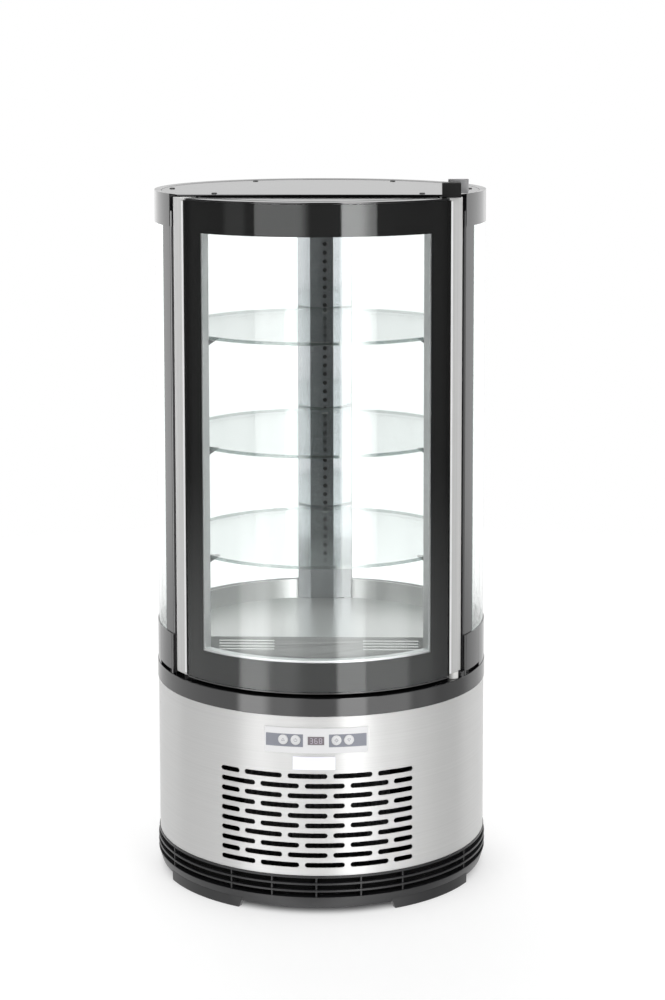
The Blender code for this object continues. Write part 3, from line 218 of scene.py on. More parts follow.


# Base ring: moulded black plastic. A skirt with four feet carries two thin rings and a top band
# on ribs, so that air can pass through three rows of vents all the way round, and a filter band
# behind them. The filter band is a real filter, but it is opaque and near-black: painted shade for
# the dark inside of the base behind the vents.
class Finish(Nodes):
    """The nodes of one finish of the object, on Object coordinates."""

    def __init__(self, name):
        self.material = bpy.data.materials.new(name)
        super().__init__(self.material)
        self.place = self.add("ShaderNodeTexCoord", output="Object")

    def noise(self, scale, stretch=(1, 1, 1), detail=3.0):
        """Noise that is pulled out along the axes with a small stretch."""
        spot = self.add("ShaderNodeMapping", {}, {"Vector": self.place, "Scale": stretch})
        return self.add("ShaderNodeTexNoise", {}, {"Vector": spot, "Scale": scale, "Detail": detail})

    def blend(self, share, first, second):
        """A colour between two colours."""
        return self.add("ShaderNodeMix", {"data_type": "RGBA"}, {0: share, 6: first, 7: second}, 2)

    def bump(self, height, depth):
        """A relief of a depth in metres."""
        return self.add("ShaderNodeBump", {}, {"Height": height, "Distance": depth, "Strength": 1.0})

    def close(self, **sockets):
        """End the finish in a Principled shader."""
        inputs = {name.replace("_", " "): value for name, value in sockets.items()}
        shader = self.add("ShaderNodeBsdfPrincipled", {}, inputs)
        self.add("ShaderNodeOutputMaterial", {}, {"Surface": shader})
        return self.material


def moulded_plastic(name, dark, light, roughness, shine=0.5):
    """Plastic or foam with a fine grain and a slightly uneven colour."""
    finish = Finish(name)
    grain = finish.noise(1100, detail=1.0)
    clouds = finish.noise(18)
    return finish.close(
        Base_Color=finish.blend(finish.step(clouds, 0.3, 0.7), dark, light),
        Roughness=grain * 0.10 + clouds * 0.08 + (roughness - 0.09),
        Specular_IOR_Level=shine,
        Normal=finish.bump(grain, 0.00004),
    )


def round_off(shape, size, sharpest=30, segments=2):
    """Break the sharp edges of a shape with a small radius."""
    sharp = [
        edge for edge in shape.edges
        if len(edge.link_faces) == 2 and edge.calc_face_angle() > math.radians(sharpest)
    ]
    bmesh.ops.bevel(
        shape, geom=sharp, offset=size, segments=segments, affect="EDGES", profile=0.5, material=-1,
        clamp_overlap=True,
    )
    return shape


def spun(outline, start=0, end=360, step=2):
    """Turn a closed outline of (radius, height) corners about Z between two angles."""
    shape = bmesh.new()
    corners = [shape.verts.new((*on_plan(radius, start), height)) for radius, height in outline]
    edges = [shape.edges.new(pair) for pair in zip(corners, corners[1:] + corners[:1])]
    whole = end - start == 360
    bmesh.ops.spin(
        shape, geom=corners + edges, cent=(0, 0, 0), axis=(0, 0, 1), dvec=(0, 0, 0),
        angle=math.radians(end - start), steps=math.ceil((end - start) / step), use_merge=whole,
    )
    if not whole:
        bmesh.ops.edgeloop_fill(shape, edges=[edge for edge in shape.edges if edge.is_boundary])
    bmesh.ops.recalc_face_normals(shape, faces=shape.faces)
    return shape


def block(low, high):
    """A box between two corners."""
    shape = bmesh.new()
    size = [end - start for start, end in zip(low, high)]
    middle = [(start + end) / 2 for start, end in zip(low, high)]
    bmesh.ops.create_cube(shape, size=1, matrix=Matrix.Translation(middle) @ Matrix.Diagonal((*size, 1)))
    return shape


def turned_about_z(shape, angle):
    """Turn a shape about the axis of the case."""
    bmesh.ops.rotate(shape, verts=shape.verts, matrix=Matrix.Rotation(math.radians(angle), 3, "Z"))
    return shape


def gathered(*shapes):
    """Put separate shapes in one mesh."""
    whole = bmesh.new()
    for shape in shapes:
        loose = bpy.data.meshes.new("loose")
        shape.to_mesh(loose)
        shape.free()
        whole.from_mesh(loose)
        bpy.data.meshes.remove(loose)
    return whole


def piece(name, shape, materials, body, slot, *nodes, sharpest=20):
    """Make a shape a piece that rides on a body and stands for CAD nodes."""
    mesh = bpy.data.meshes.new(name)
    shape.to_mesh(mesh)
    shape.free()
    mesh.shade_smooth()
    mesh.set_sharp_from_angle(angle=math.radians(sharpest))
    made = bpy.data.objects.new(name, mesh)
    bpy.context.scene.collection.objects.link(made)
    for material in materials if isinstance(materials, list) else [materials]:
        mesh.materials.append(material)
    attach(made, body)
    if nodes:
        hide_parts(*nodes)
    return made


RIM_RADIUS = 0.2366
FOOT_SPAN = 37.3
base_black = moulded_plastic("base_black_plastic", (0.008, 0.008, 0.009), (0.015, 0.015, 0.016), 0.37)
# Near-black foam, far darker than real foam: painted shade behind the vents and the column's holes.
black_foam_painted_shade = moulded_plastic("black_foam_painted_shade", (0.002, 0.002, 0.002), (0.004, 0.004, 0.004), 0.85, 0.15)
skirt = round_off(spun([
    (0.2316, 0.0098), (RIM_RADIUS, 0.0256), (0.2230, 0.0256), (0.2230, 0.0128), (0.2050, 0.0128),
    (0.2050, 0.0098),
]), 0.0006)
vent_rings = [
    round_off(spun([(RIM_RADIUS, low), (RIM_RADIUS, high), (0.2306, high), (0.2306, low)]), 0.0006)
    for low, high in ((0.0326, 0.0355), (0.0425, 0.0454))
]
top_band = round_off(spun([
    (0.2354, 0.0519), (0.2354, 0.0550), (0.2327, 0.0550), (0.2327, 0.0650), (0.2295, 0.0650),
    (0.2295, 0.0550), (0.2230, 0.0550), (0.2230, 0.0519),
]), 0.0003)
ribs = [
    turned_about_z(round_off(block((-0.0011, -0.2355, 0.0251), (0.0011, -0.2240, 0.0545)), 0.0003), angle)
    for angle in (0, 15, 30, 60, 90, 120, 150, 180, -15, -30, -60, -90, -120, -150)
]
feet = []
for start in (26, -63.3, 116.7, -154):
    foot_outline = [(0.2328, 0), (0.2334, 0.0152), (0.2240, 0.0152), (0.2240, 0)]
    foot = spun(foot_outline, start, start + FOOT_SPAN)
    inner_end = start if start in (26, -154) else start + FOOT_SPAN
    slope = 1.6 if inner_end == start else -1.6
    for corner in foot.verts:
        angle = math.degrees(math.atan2(corner.co.x, -corner.co.y))
        if corner.co.z < 0.005 and abs(angle - inner_end) < 0.1:
            corner.co.xy = on_plan(corner.co.xy.length, angle + slope)
    feet.append(round_off(foot, 0.0006))
# Filter band: a real filter, made opaque and near-black as painted shade of the base's inside.
filter_band = spun([(0.2229, 0.0258), (0.2229, 0.0541), (0.2221, 0.0541), (0.2221, 0.0258)])
for face in filter_band.faces:
    face.material_index = 1
piece(
    "base_ring_moulding", gathered(skirt, *vent_rings, top_band, *ribs, *feet, filter_band),
    [base_black, black_foam_painted_shade], "case", "base_plastic", "base_ring",
)


# Base plate: galvanised steel sheet inside the base ring. It carries the cooling unit and keeps
# its CAD mesh, as the rest of the machinery behind the grille does.
def bare_metal(name, dark, light, roughness, scale=60):
    """Plain rolled or cast metal with soft uneven patches."""
    finish = Finish(name)
    patches = finish.noise(scale)
    return finish.close(
        Base_Color=finish.blend(patches, dark, light),
        Metallic=1.0,
        Roughness=patches * 0.25 + (roughness - 0.12),
        Normal=finish.bump(finish.noise(scale * 12), 0.00003),
    )


def dress(material, *nodes):
    """Give CAD nodes that keep their mesh a finish."""
    for node in nodes:
        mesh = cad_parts[node].data
        mesh.materials.clear()
        mesh.materials.append(material)


# Painted shade: the sheet is coloured far darker than bare galvanised steel, for the shade inside the base.
dress(bare_metal("galvanised_sheet_painted_shade", (0.16, 0.16, 0.17), (0.24, 0.24, 0.25), 0.5, 90), "base_plate")


# Cooling unit: a black enamelled compressor, a finned condenser coil, and a sheet shroud that holds
# the motor and the fan blade in front of it. Only glimpses of it show through the grille. The coil
# fins, the shroud and the fan blade are coloured far darker than their bare metal: painted shade
# inside the base.
enamel = moulded_plastic("compressor_enamel", (0.008, 0.008, 0.009), (0.016, 0.016, 0.017), 0.30)
dress(enamel, "compressor")
# Painted shade: fin metal far darker than bare aluminium, for the shade inside the base.
fins = bare_metal("coil_fins_painted_shade", (0.06, 0.06, 0.06), (0.10, 0.10, 0.10), 0.45, 140)
dress(fins, "condenser_coil", "evaporator_coil")
dress(bare_metal("shroud_sheet_painted_shade", (0.05, 0.05, 0.05), (0.08, 0.08, 0.08), 0.5, 80), "condenser_fan_shroud")
shade_darkened_fan_metal = bare_metal("fan_aluminium_painted_shade", (0.08, 0.08, 0.085), (0.13, 0.13, 0.135), 0.42, 120)
dress(shade_darkened_fan_metal, "condenser_fan_blade")
dress(moulded_plastic("controller_plastic", (0.03, 0.03, 0.03), (0.05, 0.05, 0.05), 0.5), "controller_box")


# Steel shell: brushed stainless sheet, 1.2 mm, rolled into a ring. Ten staggered rows of slots let
# air in at the front; the controls have round holes and a window, the mains inlet a square hole.
SHELL_RADIUS = 0.2342
SHELL_TOP = 0.2770
FIRST_ROW = 0.0827
ROW_PITCH = 0.01382
FIRST_SLOT = -0.1014
SLOT_PITCH = 0.0623
SLOT_LENGTH = 0.0546
GRILLE_END = 0.139
BUTTON_HEIGHT = 0.2447
DISPLAY_HEIGHT = 0.2440


def brushed_steel(name, dark, light, roughness, stretch):
    """Sheet brushed along the axes with a small stretch: a broad sheen under a sharper one."""
    finish = Finish(name)
    fine = finish.noise(1.0, stretch, 2.0)
    broad = finish.noise(1.0, tuple(amount / 7 for amount in stretch), 2.0)
    smears = finish.noise(9)
    streaks = fine * 0.6 + broad * 0.4
    colour = finish.blend(finish.step(streaks, 0.3, 0.7), dark, light)
    fine_relief = finish.bump(streaks, 0.000003)
    sheen = finish.add("ShaderNodeBsdfPrincipled", {}, {
        "Base Color": colour, "Metallic": 1.0, "Roughness": smears * 0.05 + 0.75, "Normal": fine_relief,
    })
    streak_roughness = streaks * 0.06 + smears * 0.05 + (roughness - 0.055)
    streak = finish.add("ShaderNodeBsdfPrincipled", {}, {
        "Base Color": colour, "Metallic": 1.0, "Roughness": streak_roughness, "Normal": fine_relief,
        "Anisotropic": 0.8, "Anisotropic Rotation": 0.25,
    })
    finish.add("ShaderNodeOutputMaterial", {}, {"Surface": finish.add(
        "ShaderNodeMixShader", {}, {0: 0.25, 1: sheen, 2: streak})})
    return finish.material


def punched(low, high, holes, cuts):
    """A flat sheet in X and Z with holes punched in it, divided along X at each cut."""
    shape = bmesh.new()
    edge = [(low[0], low[1]), (high[0], low[1]), (high[0], high[1]), (low[0], high[1])]
    for outline in [edge, *holes]:
        corners = [shape.verts.new((x, 0, z)) for x, z in outline]
        for pair in zip(corners, corners[1:] + corners[:1]):
            shape.edges.new(pair)
    bmesh.ops.triangle_fill(shape, use_beauty=True, edges=shape.edges)
    for place in cuts:
        bmesh.ops.bisect_plane(
            shape, geom=[*shape.verts, *shape.edges, *shape.faces], plane_co=(place, 0, 0),
            plane_no=(1, 0, 0),
        )
    return shape


def rolled(shape, radius, thickness):
    """Roll a flat sheet about Z, X running along the arc, and give it its thickness inwards."""
    for corner in shape.verts:
        corner.co.xy = on_plan(radius, math.degrees(corner.co.x / radius))
    bmesh.ops.remove_doubles(shape, verts=shape.verts, dist=0.000005)
    bmesh.ops.recalc_face_normals(shape, faces=shape.faces)
    face = max(shape.faces, key=lambda each: each.calc_area())
    if face.normal.xy.dot(face.calc_center_median().xy) < 0:
        bmesh.ops.reverse_faces(shape, faces=shape.faces)
    bmesh.ops.solidify(shape, geom=shape.faces[:], thickness=thickness)
    return shape


def slot_hole(start, end, height, radius=0.0035, sides=6):
    """A slot with round ends, punched between two places along the sheet."""
    outline = []
    for place, first in ((end - radius, -90), (start + radius, 90)):
        for index in range(sides + 1):
            angle = math.radians(first + 180 * index / sides)
            outline.append((place + radius * math.cos(angle), height + radius * math.sin(angle)))
    return outline


def round_hole(place, height, radius, sides=24):
    """A round hole, drawn with straight sides."""
    angles = [math.tau * index / sides for index in range(sides)]
    return [(place + radius * math.cos(angle), height + radius * math.sin(angle)) for angle in angles]


def square_hole(place, height, width, depth):
    """A hole of a width along the sheet and a depth down it."""
    left, right = place - width / 2, place + width / 2
    low = height - depth / 2
    return [(left, low), (right, low), (right, low + depth), (left, low + depth)]


def cuts_along(start, end, step, radius):
    """Where a sheet is divided so that it rolls into facets of so many degrees."""
    count = math.ceil((end - start) / radius / math.radians(step))
    return [start + (end - start) * index / count for index in range(1, count)]


slots = []
for row in range(10):
    side = 1 if row % 2 == 0 else -1
    height = SHELL_TOP - FIRST_ROW - row * ROW_PITCH
    for number in range(-1, 4):
        place = FIRST_SLOT + number * SLOT_PITCH
        start = max(place, -GRILLE_END)
        end = min(place + SLOT_LENGTH, GRILLE_END)
        if end - start > 0.007:
            slots.append(slot_hole(*sorted((side * start, side * end)), height))
button_places = (-0.0448, -0.0277, 0.0277, 0.0448)
button_holes = [round_hole(place, BUTTON_HEIGHT, 0.00715) for place in button_places]
seam = -math.pi * SHELL_RADIUS * 5 / 6
display_hole = square_hole(0, DISPLAY_HEIGHT, 0.0199, 0.0090)
inlet_hole = square_hole(math.pi * SHELL_RADIUS, 0.0970, 0.0306, 0.0246)
holes = slots + button_holes + [display_hole, inlet_hole]
sheet = punched(
    (seam, 0.0553), (seam + math.tau * SHELL_RADIUS, SHELL_TOP), holes,
    cuts_along(seam, seam + math.tau * SHELL_RADIUS, 2, SHELL_RADIUS),
)
shell_steel = brushed_steel(
    "brushed_stainless", (0.620, 0.620, 0.615), (0.660, 0.660, 0.655), 0.30, (4, 4, 2600)
)
shell = rolled(sheet, SHELL_RADIUS, 0.0012)
piece("steel_shell_sheet", shell, shell_steel, "case", "shell_steel", "steel_shell")


# Control panel: a pale printed film on the shell with a dark field at each side, a display window
# in the middle, and four round push buttons with plain signs.
PANEL_RADIUS = 0.2350
PANEL_HALF = 0.071
FIELD_START = 0.0175
FIELD_END = 0.0692
FIELD_BOTTOM = 0.2352
FIELD_TOP = 0.2529
WINDOW_HALF = 0.01095
DIGIT_PITCH = 0.0062


def printed_film(name, dark, light, roughness):
    """Printed plastic film with a faint satin unevenness."""
    finish = Finish(name)
    clouds = finish.noise(40)
    fine = finish.noise(1500, detail=1.0)
    return finish.close(
        Base_Color=finish.blend(clouds, dark, light),
        Roughness=fine * 0.12 + (roughness - 0.06),
        Normal=finish.bump(fine, 0.00001),
    )


pale_film = printed_film("panel_pale_film", (0.80, 0.80, 0.81), (0.86, 0.86, 0.87), 0.32)
grey_film = printed_film("panel_grey_film", (0.235, 0.245, 0.285), (0.265, 0.275, 0.315), 0.36)
film_cuts = cuts_along(-PANEL_HALF, PANEL_HALF, 2, PANEL_RADIUS)
film = punched(
    (-PANEL_HALF, 0.2265), (PANEL_HALF, 0.2615),
    button_holes + [square_hole(0, DISPLAY_HEIGHT, 0.0225, 0.0116)],
    film_cuts + [-FIELD_END, -FIELD_START, FIELD_START, FIELD_END],
)
for height in (FIELD_BOTTOM, FIELD_TOP):
    bmesh.ops.bisect_plane(
        film, geom=[*film.verts, *film.edges, *film.faces], plane_co=(0, 0, height), plane_no=(0, 0, 1)
    )
for face in film.faces:
    middle = face.calc_center_median()
    in_field = FIELD_START < abs(middle.x) < FIELD_END and FIELD_BOTTOM < middle.z < FIELD_TOP
    face.material_index = 1 if in_field else 0
piece(
    "control_panel_film", rolled(film, PANEL_RADIUS, 0.0005), [pale_film, grey_film], "case", "panel_film",
    "control_panel",
)

display_glass = Finish("display_window_film")
display_smoke = display_glass.noise(120)
display_film = display_glass.close(
    Base_Color=display_glass.blend(display_smoke, (0.20, 0.18, 0.19), (0.25, 0.22, 0.24)),
    Roughness=display_smoke * 0.05 + 0.12,
)
digit_finish = Finish("display_digits")
digit_glow = digit_finish.noise(300)
digit_light = digit_finish.close(
    Base_Color=digit_finish.blend(digit_glow, (0.55, 0.50, 0.58), (0.62, 0.56, 0.66)),
    Roughness=digit_glow * 0.1 + 0.3,
)
window_cuts = cuts_along(-WINDOW_HALF, WINDOW_HALF, 1, PANEL_RADIUS)
window = punched((-WINDOW_HALF, 0.2385), (WINDOW_HALF, 0.2495), [], window_cuts)
window = rolled(window, PANEL_RADIUS + 0.0002, 0.0007)
# The segments of a digit: how far to the right, how far up, and whether it lies flat
SEGMENTS = {
    "a": (0, 1, 1), "b": (1, 0.5, 0), "c": (1, -0.5, 0), "d": (0, -1, 1), "e": (-1, -0.5, 0),
    "f": (-1, 0.5, 0), "g": (0, 0, 1),
}
marks = []
for place, lit in ((-DIGIT_PITCH, "abcdg"), (0, "acdefg"), (DIGIT_PITCH, "abcdefg")):
    for letter in lit:
        rightwards, upwards, flat = SEGMENTS[letter]
        half_width, half_height = (0.0013, 0.00035) if flat else (0.00035, 0.0015)
        x = place + rightwards * 0.0017
        z = DISPLAY_HEIGHT + upwards * 0.0034
        mark = punched((x - half_width, z - half_height), (x + half_width, z + half_height), [], [])
        marks.append(rolled(mark, PANEL_RADIUS + 0.0003, 0.0003))
for mark in marks:
    for face in mark.faces:
        face.material_index = 1
piece(
    "display_window_digits", gathered(window, *marks), [display_film, digit_light], "case", "display_film",
    "display_window",
)

button_white = moulded_plastic("button_white_plastic", (0.72, 0.72, 0.73), (0.80, 0.80, 0.81), 0.34)
button_ink = printed_film("button_grey_print", (0.30, 0.30, 0.33), (0.36, 0.36, 0.39), 0.4)


def sign(outline, radius):
    """A flat sign on the face of a button, lifted a little off it."""
    shape = bmesh.new()
    face = shape.faces.new([shape.verts.new((x, -radius, z)) for x, z in outline])
    grown = bmesh.ops.extrude_face_region(shape, geom=[face])["geom"]
    corners = [part for part in grown if isinstance(part, bmesh.types.BMVert)]
    bmesh.ops.translate(shape, verts=corners, vec=(0, -0.00015, 0))
    bmesh.ops.recalc_face_normals(shape, faces=shape.faces)
    for face in shape.faces:
        face.material_index = 1
    return shape


def bar_sign(place, height, length, angle):
    """The outline of a thin bar about its middle, turned by an angle."""
    turn_to = math.radians(angle)
    along = (math.cos(turn_to) * length / 2, math.sin(turn_to) * length / 2)
    across = (-math.sin(turn_to) * 0.0003, math.cos(turn_to) * 0.0003)
    return [
        (place - along[0] - across[0], height - along[1] - across[1]),
        (place + along[0] - across[0], height + along[1] - across[1]),
        (place + along[0] + across[0], height + along[1] + across[1]),
        (place - along[0] + across[0], height - along[1] + across[1]),
    ]


def ring_sign(radius, gap):
    """A thin ring as short bars, left open at the top by a gap in degrees."""
    count = 14
    span = 360 - 2 * gap
    length = radius * math.radians(span) / count * 1.2
    bars = []
    for index in range(count):
        angle = 90 + gap + span * (index + 0.5) / count
        turn_to = math.radians(angle)
        bars.append(bar_sign(radius * math.cos(turn_to), radius * math.sin(turn_to), length, angle + 90))
    return bars


button_signs = (
    [
        bar_sign(-0.0011, 0.0002, 0.0040, 60), bar_sign(0.0011, 0.0002, 0.0040, -60),
        bar_sign(0, -0.0016, 0.0042, 0),
    ],
    [*ring_sign(0.0021, 32), bar_sign(0, 0.0018, 0.0024, 90)],
    [*ring_sign(0.0013, 0), *(
        bar_sign(0.0025 * math.cos(math.radians(ray)), 0.0025 * math.sin(math.radians(ray)), 0.0011, ray)
        for ray in range(0, 360, 45)
    )],
    [
        bar_sign(-0.0011, -0.0002, 0.0040, -60), bar_sign(0.0011, -0.0002, 0.0040, 60),
        bar_sign(0, 0.0016, 0.0042, 0),
    ],
)
BUTTON_RADIUS = 0.00685
BUTTON_DEPTH = 0.0028
BUTTON_FACE = 0.2354
cap_middle = Matrix.Translation((0, -BUTTON_FACE + BUTTON_DEPTH / 2, 0))
for number, (place, signs) in enumerate(zip(button_places, button_signs), 1):
    cap = bmesh.new()
    bmesh.ops.create_cone(
        cap, cap_ends=True, segments=32, radius1=BUTTON_RADIUS, radius2=BUTTON_RADIUS, depth=BUTTON_DEPTH,
        matrix=cap_middle @ Matrix.Rotation(math.radians(90), 4, "X"),
    )
    round_off(cap, 0.0005, segments=3)
    button = gathered(cap, *(sign(outline, BUTTON_FACE - 0.0001) for outline in signs))
    turned_about_z(button, math.degrees(place / SHELL_RADIUS))
    bmesh.ops.translate(button, verts=button.verts, vec=(0, 0, BUTTON_HEIGHT))
    piece(
        f"button_{number}_cap", button, [button_white, button_ink], f"button_{number}", "button_plastic",
        f"button_{number}",
    )


# Badge plate: a small bare plate of pale metal glued under the panel.
badge_metal = brushed_steel("badge_pale_metal", (0.80, 0.80, 0.86), (0.88, 0.88, 0.93), 0.42, (4, 4, 900))
badge = punched((-0.0318, 0.20355), (0.0262, 0.22205), [], cuts_along(-0.0318, 0.0262, 2, PANEL_RADIUS))
badge = round_off(rolled(badge, PANEL_RADIUS, 0.0005), 0.0002)
piece("badge_plate_blank", badge, badge_metal, "case", "badge_metal", "badge_plate")


# Mains inlet: a black plastic appliance socket in the back of the shell.
def eased(name, node, size, material, slot, body="case", sharpest=30, segments=2):
    """A copy of a CAD piece with its triangles joined and its edges broken."""
    shape = bmesh.new()
    shape.from_mesh(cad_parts[node].data)
    bmesh.ops.remove_doubles(shape, verts=shape.verts, dist=0.00001)
    bmesh.ops.dissolve_limit(
        shape, angle_limit=math.radians(1), verts=shape.verts, edges=shape.edges,
        use_dissolve_boundaries=False,
    )
    round_off(shape, size, sharpest, segments)
    return piece(name, shape, material, body, slot, node)


inlet_plastic = moulded_plastic("inlet_black_plastic", (0.012, 0.012, 0.012), (0.02, 0.02, 0.02), 0.4)
eased("power_inlet_socket", "power_inlet", 0.0005, inlet_plastic, "base_plastic")


# Collar: glossy black moulded ring between the steel and the glass, with a deck under the door and
# a small boss beside the lower hinge.
def gloss_black(name):
    """Polished black plastic with a very slight ripple."""
    finish = Finish(name)
    ripple = finish.noise(30)
    dust = finish.noise(420, detail=1.0)
    return finish.close(
        Base_Color=finish.blend(ripple, (0.005, 0.005, 0.0055), (0.009, 0.009, 0.0095)),
        Roughness=dust * 0.05 + ripple * 0.04 + 0.045,
        Normal=finish.bump(ripple, 0.00006),
        IOR=1.8,
    )


def trimmed(shape, point, direction):
    """Cut away what lies beyond a plane and close the cut."""
    bmesh.ops.bisect_plane(
        shape, geom=[*shape.verts, *shape.edges, *shape.faces], plane_co=point, plane_no=direction,
        clear_outer=True,
    )
    bmesh.ops.edgeloop_fill(shape, edges=[edge for edge in shape.edges if edge.is_boundary])
    bmesh.ops.recalc_face_normals(shape, faces=shape.faces)
    return shape


def disc(radius, bottom, top, segments=180):
    """A round plate about Z."""
    shape = bmesh.new()
    bmesh.ops.create_cone(
        shape, cap_ends=True, segments=segments, radius1=radius, radius2=radius, depth=top - bottom,
        matrix=Matrix.Translation((0, 0, (top + bottom) / 2)),
    )
    return shape


collar_black = gloss_black("gloss_black_plastic")
collar = round_off(spun([
    (0.2354, 0.2773), (0.2354, 0.3025), (0.2200, 0.3025), (0.2200, 0.2800), (0.2050, 0.2800),
    (0.2050, 0.2773),
]), 0.0007)
deck = round_off(trimmed(disc(0.2210, 0.2985, 0.3024), (0, -0.10802, 0), (0, 1, 0)), 0.0002)
boss = spun([(0.2210, 0.3005), (0.2210, 0.3100), (0.2345, 0.3100), (0.2345, 0.3005)], 58.2, 59.9, 1)
round_off(boss, 0.0006)
piece("collar_moulding", gathered(collar, deck, boss), collar_black, "case", "gloss_black", "collar_ring")


# Evaporator tub, coil and fan: foamed white plastic, fins coloured dark as painted shade, and a square
# black fan, all under the steel floor of the chamber.
dress(moulded_plastic("tub_white_plastic", (0.66, 0.66, 0.64), (0.74, 0.74, 0.72), 0.5), "evaporator_tub")
dress(
    moulded_plastic("fan_black_plastic", (0.015, 0.015, 0.015), (0.025, 0.025, 0.025), 0.42),
    "evaporator_fan_frame", "evaporator_fan_blade",
)


# Chamber floor: a pan of polished stainless sheet with a low curved wall, an air slot in front of
# the column and a gap for the column.
def polished_steel(name, dark, light, roughness, gloss=1.0):
    """Bright rolled stainless sheet: a gloss over a dull sheen."""
    finish = Finish(name)
    cloud = finish.noise(7)
    lines = finish.noise(1.0, (700, 700, 9), 2.0)
    colour = finish.blend(lines, dark, light)
    relief = finish.bump(lines, 0.000004)
    dull = finish.add("ShaderNodeBsdfPrincipled", {}, {
        "Base Color": colour, "Metallic": 1.0, "Roughness": cloud * 0.10 + 0.65, "Normal": relief,
    })
    bright_roughness = cloud * 0.10 + lines * 0.06 + (roughness - 0.08)
    bright = finish.add("ShaderNodeBsdfPrincipled", {}, {
        "Base Color": colour, "Metallic": 1.0, "Roughness": bright_roughness, "Normal": relief,
    })
    finish.add("ShaderNodeOutputMaterial", {}, {"Surface": finish.add(
        "ShaderNodeMixShader", {}, {0: gloss, 1: dull, 2: bright})})
    return finish.material


chamber_steel = polished_steel("polished_stainless", (0.66, 0.66, 0.65), (0.76, 0.76, 0.755), 0.24, 0.5)
eased("chamber_floor_pan", "chamber_floor", 0.0003, chamber_steel, "shell_steel")


# Front sill: a stainless plate behind the foot of the door with louvres at both ends.
eased("front_sill_plate", "front_sill", 0.0002, chamber_steel, "shell_steel")


# Glass ring: the glossy black channel that the fixed glass stands in, open at the front, with a
# shallow relief at both ends and a gap for the column.
whole_outline = [(0.2345, 0.3028), (0.2345, 0.3600), (0.2172, 0.3600), (0.2172, 0.3028)]
relieved_outline = [
    (0.2260, 0.3028), (0.2260, 0.3085), (0.2345, 0.3085), (0.2345, 0.3600), (0.2172, 0.3600),
    (0.2172, 0.3028),
]
narrow_outline = [(0.2345, 0.3028), (0.2345, 0.3600), (0.2288, 0.3600), (0.2288, 0.3028)]
channel_parts = (
    (whole_outline, 60.3, 61.5), (relieved_outline, 61.5, 74), (whole_outline, 74, 169.2),
    (whole_outline, 190.8, 286), (relieved_outline, 286, 298.5), (whole_outline, 298.5, 299.7),
    (narrow_outline, 169.2, 190.8),
)
channel = gathered(*(round_off(spun(*part), 0.0004) for part in channel_parts))
piece("glass_ring_channel", channel, collar_black, "case", "gloss_black", "glass_base_ring")


# Fixed glass: two curved panes at each side with an air space between them.
def clear_glass(name, tint, shine=0.04):
    """Flat-surfaced glass: it shows what is behind it and mirrors more at a shallow angle."""
    finish = Finish(name)
    facing = finish.add("ShaderNodeLayerWeight", {}, {"Blend": 0.5}, "Facing")
    film = finish.noise(25)
    finish.add("ShaderNodeOutputMaterial", {}, {"Surface": finish.add("ShaderNodeMixShader", {}, {
        0: facing ** 5 * (1 - shine) + (film * 0.006 + shine - 0.003),
        1: finish.add("ShaderNodeBsdfTransparent", {}, {"Color": tint}),
        2: finish.add("ShaderNodeBsdfPrincipled", {}, {
            "Base Color": (0.95, 0.97, 0.96), "Metallic": 1.0, "Roughness": film * 0.02 + 0.005,
        }),
    })})
    return finish.material


pane_glass = clear_glass("clear_float_glass", (0.994, 0.998, 0.997), 0.018)
pane_edge = clear_glass("ground_glass_edge", (0.60, 0.66, 0.65), 0.12)


def mark_edges(shape):
    """Give the narrow faces of a pane the finish of a ground edge."""
    for face in shape.faces:
        outwards = abs(face.normal.xy.dot(face.calc_center_median().xy.normalized()))
        face.material_index = 0 if outwards > 0.7 else 1
    return shape


def pane(outer, thickness, bottom, top, start, end):
    """A curved pane between two angles, with ground edges."""
    inner = outer - thickness
    return mark_edges(spun([(outer, bottom), (outer, top), (inner, top), (inner, bottom)], start, end))


GLASS_THICKNESS = 0.004
COLUMN_GAP_HALF = 0.0416
for side, name in ((-1, "left"), (1, "right")):
    for layer, outer in (("outer", 0.2330), ("inner", 0.2212)):
        end = 180 - math.degrees(math.asin(COLUMN_GAP_HALF / (outer - GLASS_THICKNESS)))
        start, end = sorted((side * 67.25, side * end))
        piece(
            f"{name}_{layer}_pane", pane(outer, GLASS_THICKNESS, 0.3603, 0.9520, start, end),
            [pane_glass, pane_edge], "case", "clear_glass", f"{name}_{layer}_glass",
        )


# Rear column: one sheet of polished stainless folded into a shallow duct; cold air leaves through the
# row of holes in its face. Behind the holes lies a strip of foam lining, coloured near-black as
# painted shade inside the duct.
HOLE_COUNT = 39
HOLE_PITCH = 0.0132
HOLE_RADIUS = 0.0031
FIRST_HOLE = 0.4030
COLUMN_PATH = [
    (0, 0.2280), (0.0410, 0.2280), (0.0410, 0.2161), (0.0128, 0.2060), (-0.0222, 0.2060),
    (-0.0410, 0.2122), (-0.0410, 0.2280), (0, 0.2280),
]
column_folds = [0]
for start, end in zip(COLUMN_PATH, COLUMN_PATH[1:]):
    column_folds.append(column_folds[-1] + (Vector(end) - Vector(start)).length)


def folded(shape, path, folds):
    """Fold a flat sheet along a path on plan."""
    for corner in shape.verts:
        number = max(index for index in range(len(path) - 1) if folds[index] <= corner.co.x + 0.000001)
        share = (corner.co.x - folds[number]) / (folds[number + 1] - folds[number])
        corner.co.xy = Vector(path[number]).lerp(Vector(path[number + 1]), share)
    bmesh.ops.remove_doubles(shape, verts=shape.verts, dist=0.000005)
    bmesh.ops.recalc_face_normals(shape, faces=shape.faces)
    return shape


